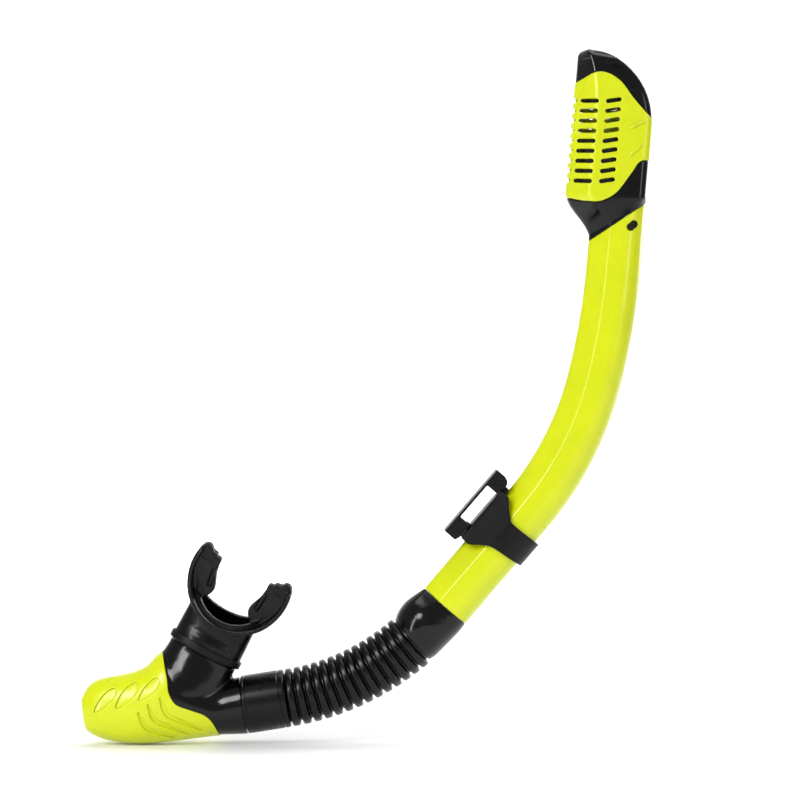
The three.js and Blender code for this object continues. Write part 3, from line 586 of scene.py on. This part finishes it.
def column_points(at, grow):
    """The point on each column at its own fractional row, moved out by grow."""
    low = np.clip(at.astype(int), 0, len(COLUMNS) - 2)
    k = (at - low)[:, None]
    ways = np.arange(len(OUT))
    points = COLUMNS[low, ways] * (1 - k) + COLUMNS[low + 1, ways] * k
    return points + np.column_stack([OUT * grow, np.zeros(len(OUT))])


def crossing(line, shift):
    """Where each column meets a line z = f(x), as a fractional row."""
    away = COLUMNS[:, :, 2] - line(COLUMNS[:, :, 0]) - shift
    low = np.clip((away < 0).sum(axis=0) - 1, 0, len(COLUMNS) - 2)
    ways = np.arange(len(OUT))
    a, b = away[low, ways], away[low + 1, ways]
    return low + np.clip(a / (a - b), 0, 1)


def line_through(points):
    made = spline(points, 200)
    return lambda x: np.interp(x, made[:, 0], made[:, 1])


CAP_LINE = line_through(
    [(-38, 76.5), (-27.4, 84), (-17, 87.6), (-6.6, 83.6), (3, 73.2), (14.4, 62.6), (22, 57)]
)
COLLAR_LINE = line_through(
    [(-38, 14.5), (-26, 11.2), (-18.9, 10.3), (-11.8, 11), (-2.9, 17), (4.9, 29.2),
     (10.3, 37), (22, 38.2)]
)
QUARTER = np.linspace(0, math.pi / 2, 6)
SHELL_ROWS = 44


def edge_rows(line, shift, outer, way):
    """A rounded edge from a shell's end face (way 1: its low end) to its outer face."""
    return [
        column_points(
            crossing(line, shift + way * EDGE * (1 - math.cos(a))),
            outer - EDGE + EDGE * math.sin(a),
        )
        for a in QUARTER
    ]


def run_rows(low, high, grow, count):
    return [column_points(low + (high - low) * k, grow) for k in np.linspace(0, 1, count)]


def shell(low_line, low_shift, high_line, high_shift, outer, inner):
    """A ring of wall between two lines on the dry top, with rounded outer edges."""
    start = crossing(low_line, low_shift + EDGE)
    end = crossing(high_line, high_shift - EDGE)
    made = edge_rows(low_line, low_shift, outer, 1)
    made += run_rows(start, end, outer, SHELL_ROWS)[1:-1]
    made += edge_rows(high_line, high_shift, outer, -1)[::-1]
    floor, top = crossing(low_line, low_shift), crossing(high_line, high_shift)
    made += run_rows(top, floor, inner, SHELL_ROWS // 2)
    return solid(made, closed=True)


# ---------- Dry top ----------
def seam(x):
    return SEAM_SLOPE * x


SLOT_ROWS, TOP_ROW, SLOT_PITCH, SLOT_HEIGHT = 9, 69.9, 5.97, 2.6
SLOT_COLUMNS = [(-23.4, 0, 10.2, -3), (-9.4, 1.2, 9.6, 15)]  # x, rise, length, tilt


def vent_guard():
    guard = shell(COLLAR_LINE, 0, CAP_LINE, 0, GUARD_PROUD, -WALL)
    outside = surface(guard)
    for side in (-1, 1):
        cutters = []
        for row in range(SLOT_ROWS):
            z = TOP_ROW - row * SLOT_PITCH
            for x, rise, length, tilt in SLOT_COLUMNS:
                cutters.append(
                    rounded_cutter(
                        outside,
                        lambda g, _, x=x, z=z + rise, l=length, t=tilt: stadium(
                            l, SLOT_HEIGHT, x, z, t, g
                        ),
                        side,
                        0.55,
                    )
                )
        guard = without(guard, merged(*cutters))
    noses = []
    for row in range(SLOT_ROWS):
        z = TOP_ROW - row * SLOT_PITCH + 0.6
        rings = []
        for x, grow in [(-36, 1.6), (-33.2, 1.1), (-32.4, 0.55), (-31.6, 0.2), (-30.6, 0), (-25.5, 0)]:
            outline = stadium(12, SLOT_HEIGHT, 0, z, 0, grow, 8)
            rings.append([(x, y, height) for y, height in outline])
        noses.append(solid(rings))
    guard = without(guard, merged(*noses))
    for side in (-1, 1):
        for path in ([(1.1, 54.7), (6, 58.4), (11.4, 60.9)], [(1.7, 37.9), (6, 43), (10.4, 47.4)]):
            guard = merged(guard, ridge(outside, path, side, 2.1, 1.1, taper=0.3))
    return guard


def top_cap():
    low = crossing(CAP_LINE, GAP)
    last = np.full(len(OUT), len(COLUMNS) - 1.0)
    inner = [column_points(low + (last - 9 - low) * k, -WALL) for k in np.linspace(1, 0, 12)]
    start = crossing(CAP_LINE, GAP + EDGE)
    outer = run_rows(start, last, 0, 48)[1:]
    return solid([*inner, *edge_rows(CAP_LINE, GAP, 0, 1), *outer])


def top_collar():
    collar = shell(seam, GAP, COLLAR_LINE, -GAP, 0, -WALL)
    disc = [column_points(crossing(lambda x: 0 * x, z), -1) for z in (7.3, 9.5)]
    return merged(collar, solid(disc))


piece(vent_guard(), "guard_shell", TOP, "yellow_plastic", "barrel", "vent_guard")
piece(top_cap(), "cap_shell", TOP, "black_plastic", "barrel", "top_cap")
piece(top_collar(), "collar_shell", TOP, "black_plastic", "barrel", "top_collar")

# ---------- Barrel ----------
LATCH_WINDOW = (7.3, 4.3, 8.4, -1.6, 43)  # length, width, x, z, tilt
PACE = 4.0  # millimetres to one row of the barrel's grid
TOP_EDGE = 0.35  # rounding of its top edge


def barrel():
    places = barrel_frames(PACE)[:-1] + [walk(TOP, 2, 0), walk(TOP, 16, 0)]
    outline = level(section(BARREL), 0)
    to_top = np.array(matrix(TOP).inverted())
    grid = filled(np.array([placed(outline, place) for place in places]), outline)
    round_ways = filled(ROUND[None], outline)[0]
    round_ways /= np.linalg.norm(round_ways, axis=1)[:, None]
    local = grid @ to_top[:3, :3].T + to_top[:3, 3]
    away = local[:, :, 2] - SEAM_SLOPE * local[:, :, 0]
    low = np.clip((away < 0).sum(axis=0) - 1, 0, len(grid) - 2)
    ways = np.arange(len(round_ways))
    a, b = away[low, ways], away[low + 1, ways]
    top = low + a / (a - b)

    def ring(at, grow):
        low = np.clip(at.astype(int), 0, len(grid) - 2)
        k = (at - low)[:, None]
        points = grid[low, ways] * (1 - k) + grid[low + 1, ways] * k
        leans = np.array([math.radians(place[2]) for place in places])
        lean = leans[low] * (1 - k[:, 0]) + leans[low + 1] * k[:, 0]
        out = np.column_stack(
            [
                round_ways[:, 0] * np.cos(lean),
                round_ways[:, 1],
                -round_ways[:, 0] * np.sin(lean),
            ]
        )
        return points + out * grow

    flat = np.zeros(len(ways))
    rows = []
    for turn in QUARTER:
        rows.append(ring(flat + EDGE * (1 - math.cos(turn)) / PACE, EDGE * (math.sin(turn) - 1)))
    for k in np.linspace(0, 1, 74)[1:-1]:
        rows.append(ring(flat + (top - flat) * k, 0))
    for turn in QUARTER[::-1]:
        back = TOP_EDGE * (1 - math.cos(turn)) / PACE
        rows.append(ring(top - back, TOP_EDGE * (math.sin(turn) - 1)))
    for k in np.linspace(1, 0, 40):
        rows.append(ring(flat + (top - flat) * k, -WALL))
    socket = rod(SOCKET_RADIUS, -1, SOCKET_DEPTH)
    tube = without(solid(rows, closed=True), moved(socket, BARREL_END))
    tube.data.transform(matrix(TOP).inverted())
    outside = surface(tube)
    for side in (-1, 1):
        cutter = rounded_cutter(outside, lambda g, _: stadium(*LATCH_WINDOW, g), side, 0.6)
        tube = without(tube, cutter)
    return tube


piece(barrel(), "barrel_shell", TOP, "yellow_plastic", "barrel", "barrel_tube")

# ---------- Coupling ----------
BELL = [  # distance, grow, round, shift
    (0.3, 0, 0, 0), (2.5, 0.4, 0.15, -0.2), (5, 0.9, 0.3, -0.4), (11, 1.7, 0.8, -1.1),
    (16, 1.8, 1, -1.3), (21, 1.5, 1, -1), (25, 0.9, 1, -0.4), (27.4, 0, 1, 0),
]


def coupling():
    circle = [(0, 0, 16)] * 4

    def ring(distance, grow, round_part, shift):
        outline = level(section(between(BARREL, circle, min(max(round_part, 0), 1)), grow), 0)
        return placed(outline, shifted(hose_at(distance), shift, 0))

    outer = [ring(*row) for row in spline(BELL, 46)]
    lead = [ring(0.3, -2.2, 0, 0), ring(0.3, -1.0, 0, 0), ring(0.35, -0.45, 0, 0)]
    lip = [
        ring(27.5 + 0.9 * math.sin(a), -0.9 + 0.9 * math.cos(a), 1, 0) for a in QUARTER
    ]
    inner = [ring(d, g, 1, 0) for d, g in [(28.3, -1.4), (27, -1.5), (18, -1.6)]]
    throat = [placed(level(ROUND * 10.4, 0), hose_at(d)) for d in (15, 8, 0.6)]
    return solid([*lead, *outer[1:], *lip, *inner, *throat], closed=True)


piece(coupling(), "coupling_bell", HERE, "black_plastic", "coupling", "hose_coupling")

# ---------- Hose: one soft moulding that bends between the coupling and the chamber ----------
RIBS, CREST, VALLEY, CUFF, CUFF_BORE = 14, 17.3, 14.4, 17.4, 15.1
HOSE_COUNT = 72
RIB = [  # part of a rib's pitch, part of its height
    (0, 0), (0.07, 0), (0.12, 0.1), (0.16, 0.4), (0.2, 0.72), (0.25, 0.9), (0.32, 0.98), (0.42, 1),
    (0.66, 1), (0.76, 0.98), (0.83, 0.9), (0.88, 0.72), (0.92, 0.4), (0.96, 0.1),
]


def hose():
    ways = (np.arange(HOSE_COUNT) + 0.5) * 2 * math.pi / HOSE_COUNT
    circle = np.stack([np.cos(ways), np.sin(ways)], axis=1)

    def ring(distance, radius):
        return placed(level(circle * radius, 0), hose_at(distance))

    start, end = COUPLING_END + 0.9, BELLOWS_END
    pitch = (end - start) / RIBS
    profile = [(COUPLING_END - 8, 14.2), (COUPLING_END - 1, 14.2)]
    for rib in range(RIBS):
        for k, rise in RIB:
            profile.append((start + (rib + k) * pitch, VALLEY + (CREST - VALLEY) * rise))
    cuff_end = CHAMBER_AT - GAP
    profile += [(end, VALLEY), (end + 0.5, VALLEY + 0.4), (end + 0.6, CUFF - 1.2)]
    profile += [(end + 0.6 + 1.0 * (1 - math.cos(a)), CUFF - 1.0 + 1.0 * math.sin(a)) for a in QUARTER]
    profile += [(end + 3.4, CUFF), (end + 3.8, CUFF - 0.35), (end + 4.4, CUFF - 0.35), (end + 4.8, CUFF)]
    profile += [(d, CUFF) for d in np.linspace(end + 6, cuff_end - 2.2, 8)]
    profile += [(cuff_end - 1.9, CUFF - 0.25), (cuff_end - 1.5, CUFF - 0.25), (cuff_end - 1.2, CUFF)]
    profile += [
        (cuff_end - 0.9 * (1 - math.cos(a)), CUFF - 0.9 + 0.9 * math.sin(a)) for a in QUARTER[::-1]
    ]
    profile += [(cuff_end, CUFF_BORE), (end + 4, CUFF_BORE), (end, VALLEY - 1.5)]
    profile += [(d, VALLEY - 1.5) for d in np.linspace(end - 3, start, 40)]
    profile += [(COUPLING_END - 8, 11)]
    return solid([ring(d, r) for d, r in profile], closed=True)


bellows = piece(hose(), "hose_moulding", HERE, "black_silicone", None, "corrugated_hose")


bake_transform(bellows)

# ---------- Chamber, with the purge cover ----------
NOZZLE = [  # z, top, bottom, half depth
    (6, -17, 17.4, 17), (-0.4, -17, 17.4, 17), (-8, -16.2, 16.5, 16.6), (-17, -15.6, 15.4, 16.6),
    (-30, -27, 15, 18.5), (-43, -38.4, 14.6, 19), (-55, -31.6, 14, 18), (-65, -29.4, 12.9, 16.8),
    (-75, -29, 10.8, 15.4), (-84, -28.4, 7.8, 13.6), (-90, -25.6, 4.8, 11.4),
    (-94.6, -20.4, 1.2, 8.6), (-97.4, -14, -3.4, 5.4),
]
TRUNK = [(3, 21.5, 13.2), (-3.6, 21.5, 13.4), (-8, 21.6, 14.3), (-18, 22.8, 17), (-30, 24, 18.4),
         (-42, 19, 16)]
COVER_LINE = [(-56, -45), (-39, -43), (-25, -41.6), (-16, -41.6), (-8.5, -38.4), (-3.5, -30),
              (1, -22.6), (8, -18.4), (24, -15.5)]
CHAMBER_WALL = 2.2
COVER_PROUD = 0.35
BODY_END, PORT_END = -0.4, -3.6  # the form's ends, in its own frame and in the port's
OUTLET = (9, 7.5, -9.6)
MOUTH_SPIGOT = (18.8, 10.7, 1.8, 5.5)  # half x, half y, wall, height


def cover_side(shift):
    line = spline(COVER_LINE, 60) + (0, shift)
    return slab([*line, (line[-1][0], -160), (line[0][0], -160)], 40)


def chamber_form():
    nozzle = [
        level(oval((bottom - top) / 2, half, (bottom + top) / 2), z)
        for z, top, bottom, half in spline(NOZZLE, 80)
    ]
    trunk = [level(oval(x, y), z) for z, x, y in spline(TRUNK, 30)]
    form = softened(merged(solid(nozzle), moved(solid(trunk), PORT)), 0.8, 14)
    form = without(form, block(-60, 60, -40, 40, BODY_END, 40))
    return without(form, moved(block(-60, 60, -40, 40, PORT_END, 40), PORT))


FORM = chamber_form()


def chamber():
    half_x, half_y, wall, high = MOUTH_SPIGOT
    hollow = grown(copied(FORM), -CHAMBER_WALL)
    body = without(copied(FORM), cover_side(GAP))
    spigot = solid([level(oval(half_x, half_y), z) for z in (-8, high)])
    body = joined(body, rod(14.7, -2, 20), moved(spigot, PORT))
    bore = solid([level(oval(half_x - wall, half_y - wall), z) for z in (-12, high + 1)])
    return without(body, hollow, rod(12.5, -10, 21), moved(bore, PORT))


LEAVES = [  # the two tips of each leaf, and its half width
    ((-14.1, -59.9), (-24.9, -46.3), 2.9),
    ((-11.4, -74.3), (-24.0, -59.8), 3.2),
    ((-11.0, -87.7), (-22.6, -73.0), 2.8),
]
CHEVRONS = [
    [(-14.1, -47.0), (-6.5, -45.6), (-2.7, -44.0), (0.5, -39.8), (9.6, -26.3)],
    [(-11.3, -54.9), (-3.8, -53.2), (-0.4, -51.6), (2.6, -47.6), (11.0, -34.6)],
    [(-7.4, -61.5), (0.4, -59.4), (4.0, -57.3), (6.6, -53.2), (12.0, -43.2)],
]


def leaf(start, end, half, grow, part):
    start, end = np.array(start, float), np.array(end, float)
    way = (end - start) / np.linalg.norm(end - start)
    across = np.array([-way[1], way[0]])
    middle, long = (start + end) / 2, np.linalg.norm(end - start) / 2
    made = []
    for a in np.linspace(0, 2 * math.pi, 40, endpoint=False):
        c, s = math.cos(a), math.sin(a)
        fat = part * half * s * (1 + 0.25 * c)
        made.append(middle + way * c * (long + grow) + across * (fat + grow * s))
    return np.array(made)


def band_outline(path, half, grow, part):
    path = spline(path, 22)
    ways = np.gradient(path, axis=0)
    ways /= np.linalg.norm(ways, axis=1)[:, None]
    across = np.column_stack([-ways[:, 1], ways[:, 0]])
    thin = np.clip(np.sin(np.linspace(0.12, math.pi - 0.12, 22)) * 1.6, 0.35, 1)[:, None]
    reach = part * half * thin + grow
    return np.vstack([path + across * reach, (path - across * reach)[::-1]])


def purge_cover():
    hollow = grown(copied(FORM), -CHAMBER_WALL)
    cover = grown(copied(FORM), COVER_PROUD)
    outside = surface(cover)
    cover = within(cover, cover_side(0))
    outlet = solid([level(oval(OUTLET[0] + g, OUTLET[1] + g, OUTLET[2]), z)
                    for z, g in [(-110, 3), (-97, 1.4), (-94.5, 0.4), (-92, 0), (-80, 0)]])
    cover = without(cover, hollow, outlet)
    for side in (-1, 1):
        cutters = [
            rounded_cutter(outside, lambda g, k, l=l: leaf(*l, g, k), side, 0.75, depth=1.35)
            for l in LEAVES
        ]
        cutters += [
            rounded_cutter(
                outside, lambda g, k, p=p: band_outline(p, 1.3, g, k), side, 0.7, depth=1.2
            )
            for p in CHEVRONS
        ]
        cover = without(cover, merged(*cutters))
    return cover


piece(purge_cover(), "cover_shell", CHAMBER, "yellow_plastic", "chamber", "purge_cover")
piece(chamber(), "chamber_shell", CHAMBER, "black_plastic", "chamber", "chamber_body")

# ---------- Mouthpiece ----------
SLEEVE_X, SLEEVE_Y, SLEEVE_WALL, SLEEVE_LOW = 21.6, 13.3, 2.3, -3.3
SHIELD_CENTRE, SHIELD_RADIUS, SHIELD_THICK = 50, 31.3, 2.6
LIP = 2.2
WING = [(-29, 33), (-30.5, 42), (-31, 50), (-30.4, 56.5), (-28.4, 61), (-25, 61.7), (-22.6, 59.2),
        (-20.4, 57), (-16, 56.4), (-15.6, 52), (-14.6, 46), (-12.2, 39), (-11.8, 35.4),
        (-13.6, 31.4), (-18, 27.4), (-24, 29)]


def sleeve_ring(grow, z):
    flat = float(smooth((z - 4) / 18))
    narrow = 1.5 if grow < 0 else 0.4
    outline = oval(SLEEVE_X - narrow * flat + grow, SLEEVE_Y - 3.7 * flat + grow)
    turn = math.radians(MOUTH_TILT) * float(smooth((z - MOUTH_PIVOT + 6) / 12))
    y, up = outline[:, 1], z - MOUTH_PIVOT
    return np.column_stack(
        [outline[:, 0], y * math.cos(turn) - up * math.sin(turn),
         MOUTH_PIVOT + y * math.sin(turn) + up * math.cos(turn)]
    )


def tipped(obj):
    tilt = Matrix.Rotation(math.radians(MOUTH_TILT), 4, "X")
    lift = Matrix.Translation((0, 0, MOUTH_PIVOT))
    obj.data.transform(lift @ tilt @ lift.inverted())
    return obj


def mouthpiece():
    def drum(radius):
        return rod(radius, -40, 40, "y", 0, SHIELD_CENTRE)

    blank = solid([
        level(oval(36, 13.7), 12), level(oval(36, 13.7), 34), level(oval(36, 10.5), 50),
        level(oval(36, 8), 57.5),
    ])
    shield = within(without(drum(SHIELD_RADIUS), drum(SHIELD_RADIUS - SHIELD_THICK)), blank)
    parts = [shield]
    for way in (1, -1):
        wing = spline(WING + WING[:1], 90)[:-1] * (way, 1)
        parts.append(within(slab(wing, 2.2), drum(SHIELD_RADIUS)))
        lug = np.array([(-16.6, 38), (-14.6, 38.6), (-15.9, 50.4), (-17.9, 50)]) * (way, 1)
        parts.append(slab(lug, 3.6))
        for height in (53.4, 56.2, 59.0):
            bead = np.array(
                [(-29.6, height), (-29.6, height + 1.1), (-19, height - 0.6), (-19, height - 1.7)]
            )
            parts.append(within(slab(bead * (way, 1), 2.75), drum(SHIELD_RADIUS)))
    end = tipped(merged(*parts))
    heights = [SLEEVE_LOW, *np.linspace(-1, 44, 40)]
    neck = without(
        solid([sleeve_ring(0, z) for z in heights]),
        tipped(drum(SHIELD_RADIUS - SHIELD_THICK - LIP)),
    )
    made = softened(merged(neck, end), 0.42, 5)
    airway = solid([sleeve_ring(-SLEEVE_WALL, z) for z in [-4.3, *np.linspace(-1, 29, 28)]])
    made = without(made, airway)
    return softened(made, 0.4, 3)


piece(mouthpiece(), "mouthpiece_soft", MOUTH, "black_silicone", "chamber", "mouthpiece")


def tie():
    rows = []
    for a in np.linspace(0, 2 * math.pi, 20, endpoint=False):
        c, s = math.cos(a), math.sin(a)
        square = 1 / max(abs(c) ** 6 + abs(s) ** 6, 1e-9) ** (1 / 6)
        grow, z = 0.9 + 0.6 * s * square, -0.25 + 2.15 * c * square
        rows.append(level(oval(SLEEVE_X + grow, SLEEVE_Y + grow), z))
    head = block(-3.4, 3.4, SLEEVE_Y + 0.8, SLEEVE_Y + 4.4, -2.9, 2.4)
    return softened(merged(solid(rows, closed=True), head), 0.3, 2)


piece(tie(), "tie_band", MOUTH, "satin_black_plastic", "chamber", "mouthpiece_tie")

# ---------- Keeper and gate ----------
SEAT = -20
PLATE_X = SEAT + 0.5
LAND = (-8.9, 14.5)  # the strap's seat, a land a little proud of the plate
FLARE = [(20, -8.3), (20, 8.3), (-1, 7.6), (-5.5, 9.8), (-9.5, 13.2), (-13.4, 17.4), (-16.5, 18.2),
         (PLATE_X, 17.4), (PLATE_X, -18.6), (-14, -18.6), (-8.5, -14.6), (-5, -12), (-1, -10.6)]
PIN_X, PIN_Z, PIN_HOLE, KNUCKLE = -22.9, 21.8, 1.3, 3.8


def keeper():
    def drum(grow):
        return solid([level(section(BARREL, grow), z) for z in (-40, 40)])

    upper = spline(FLARE[1:8], 40)
    lower = spline(FLARE[8:], 30)
    outline = [FLARE[0], *upper, *lower]
    corners = [(PLATE_X + 1, y, 1) for y in (12, -12)]
    plate = [(x, y, r + 2.6) for x, y, r in BARREL[1:]] + corners
    wrap = solid([level(section(plate), z) for z in (-40, 40)])
    form = within(wrap, slab(outline, 40))
    ear = rod(KNUCKLE - 0.1, -6, 6, "y", PIN_X, PIN_Z)
    webs = [block(PIN_X, -18, -6, 6, PIN_Z - 4.1, PIN_Z), block(PLATE_X, -16.3, -6, 6, 12, PIN_Z)]
    post = slab([(-18, -13.4), (-21.6, -13.4), (-23.2, -12), (-22.4, -9), (-18, -9)], 6)
    land = block(SEAT, SEAT + 2, -13, 13, *LAND)
    form = softened(merged(form, land, ear, *webs, post), 0.36, 3)
    return without(form, drum(GAP), rod(PIN_HOLE, -20, 20, "y", PIN_X, PIN_Z))


def gate():
    bar = block(-29.6, -28, -11, 11, -22, 26)
    head = [
        rod(KNUCKLE, -11, 11, "y", PIN_X, PIN_Z),
        block(-29.6, PIN_X, -11, 11, 15.1, 26),
        block(-29.6, -20.4, -11, 11, 15.1, PIN_Z),
    ]
    foot = slab([(-29.6, -22), (-21.6, -22), (-20.4, -19), (-20.4, -9.7), (-29.6, -9.7)], 11)
    form = softened(merged(bar, *head, foot), 0.36, 3)
    ear_pocket = block(PIN_X - 4.1, -15, -6.4, 6.4, PIN_Z - 4.6, 40)
    catch_pocket = block(-23.8, -15, -6.5, 6.5, -14, -8.7)
    return without(form, ear_pocket, catch_pocket, rod(PIN_HOLE, -20, 20, "y", PIN_X, PIN_Z))


piece(keeper(), "keeper_moulding", KEEPER, "satin_black_plastic", "keeper", "keeper_clip")
piece(gate(), "gate_moulding", KEEPER, "satin_black_plastic", "gate", "keeper_gate")

# ---------- CAD pieces that stay, with a finish and eased edges ----------
for row in frame["record"]["subparts"]:
    kept = bpy.data.objects.get(row["node"])
    if kept is None or kept.hide_render:
        continue
    kept.data.materials.clear()
    kept.data.materials.append(LOOKS[row["material_slot"]])
    ease = kept.modifiers.new("ease", "BEVEL")
    ease.width = 0.00025
    ease.segments = 2
    ease.angle_limit = math.radians(40)

bpy.data.objects.remove(FORM)

# ---------- Studio ----------
FLOOR = CAD_BOX[0][2] - 0.0006  # a little under the part at rest
VIEW_X, VIEW_Z, DISTANCE = -0.05004, 0.06546, 1.38  # the camera looks along +y


def backdrop():
    """A floor that curves up into a wall behind."""
    wide, near, turn_y, bend = 6.0, -4.0, 1.6, 1.2
    line = [(near, 0.0), (turn_y, 0.0)]
    for a in np.linspace(0, math.pi / 2, 24)[1:]:
        line.append((turn_y + bend * math.sin(a), bend * (1 - math.cos(a))))
    line.append((turn_y + bend, 5.0))
    mesh = bpy.data.meshes.new("backdrop")
    verts = [(x, y, FLOOR + z) for y, z in line for x in (-wide, wide)]
    faces = [(2 * i, 2 * i + 1, 2 * i + 3, 2 * i + 2) for i in range(len(line) - 1)]
    mesh.from_pydata(verts, [], faces)
    obj = bpy.data.objects.new("backdrop", mesh)
    bpy.context.scene.collection.objects.link(obj)
    obj.data.shade_smooth()
    paper = bpy.data.materials.new("paper")
    paper.use_nodes = True
    shader = paper.node_tree.nodes["Principled BSDF"]
    shader.inputs["Base Color"].default_value = (0.93, 0.93, 0.93, 1)
    shader.inputs["Roughness"].default_value = 0.95
    obj.data.materials.append(paper)


def lamp(name, place, aim, size, power):
    light = bpy.data.lights.new(name, "AREA")
    light.shape = "RECTANGLE"
    light.size, light.size_y = size
    light.energy = power
    obj = bpy.data.objects.new(name, light)
    bpy.context.scene.collection.objects.link(obj)
    obj.location = place
    obj.rotation_euler = (Vector(aim) - Vector(place)).to_track_quat("-Z", "Y").to_euler()


backdrop()
lamp("key", (-0.9, -1.5, 1.1), (-0.05, 0, 0.05), (0.6, 0.7), 19)
lamp("crease", (-1.1, -1.1, 0.15), (0.02, 0, 0.05), (0.1, 1.6), 10)
lamp("fill", (1.3, -1.2, 0.5), (-0.05, 0, 0.05), (0.4, 1.0), 5)
lamp("top", (0.1, 0.2, 1.7), (-0.05, 0, 0.05), (1.6, 1.0), 15)
lamp("rim", (0.9, 0.8, 0.7), (0.0, 0, 0.1), (0.3, 1.2), 12)
lamp("wall", (0.0, 0.9, 0.5), (0.0, 2.8, 0.7), (2.4, 1.2), 46)

world = bpy.data.worlds.new("studio")
world.use_nodes = True
world.node_tree.nodes["Background"].inputs["Color"].default_value = (1, 1, 1, 1)
world.node_tree.nodes["Background"].inputs["Strength"].default_value = 0.36
bpy.context.scene.world = world
bpy.context.scene.view_settings.view_transform = "Standard"

camera = bpy.data.cameras.new("camera")
camera.lens = 103.5
camera.sensor_width = 36
camera_object = bpy.data.objects.new("camera", camera)
bpy.context.scene.collection.objects.link(camera_object)
camera_object.location = (VIEW_X, -DISTANCE, VIEW_Z)
camera_object.rotation_euler = (math.radians(90), 0, 0)
bpy.context.scene.camera = camera_object
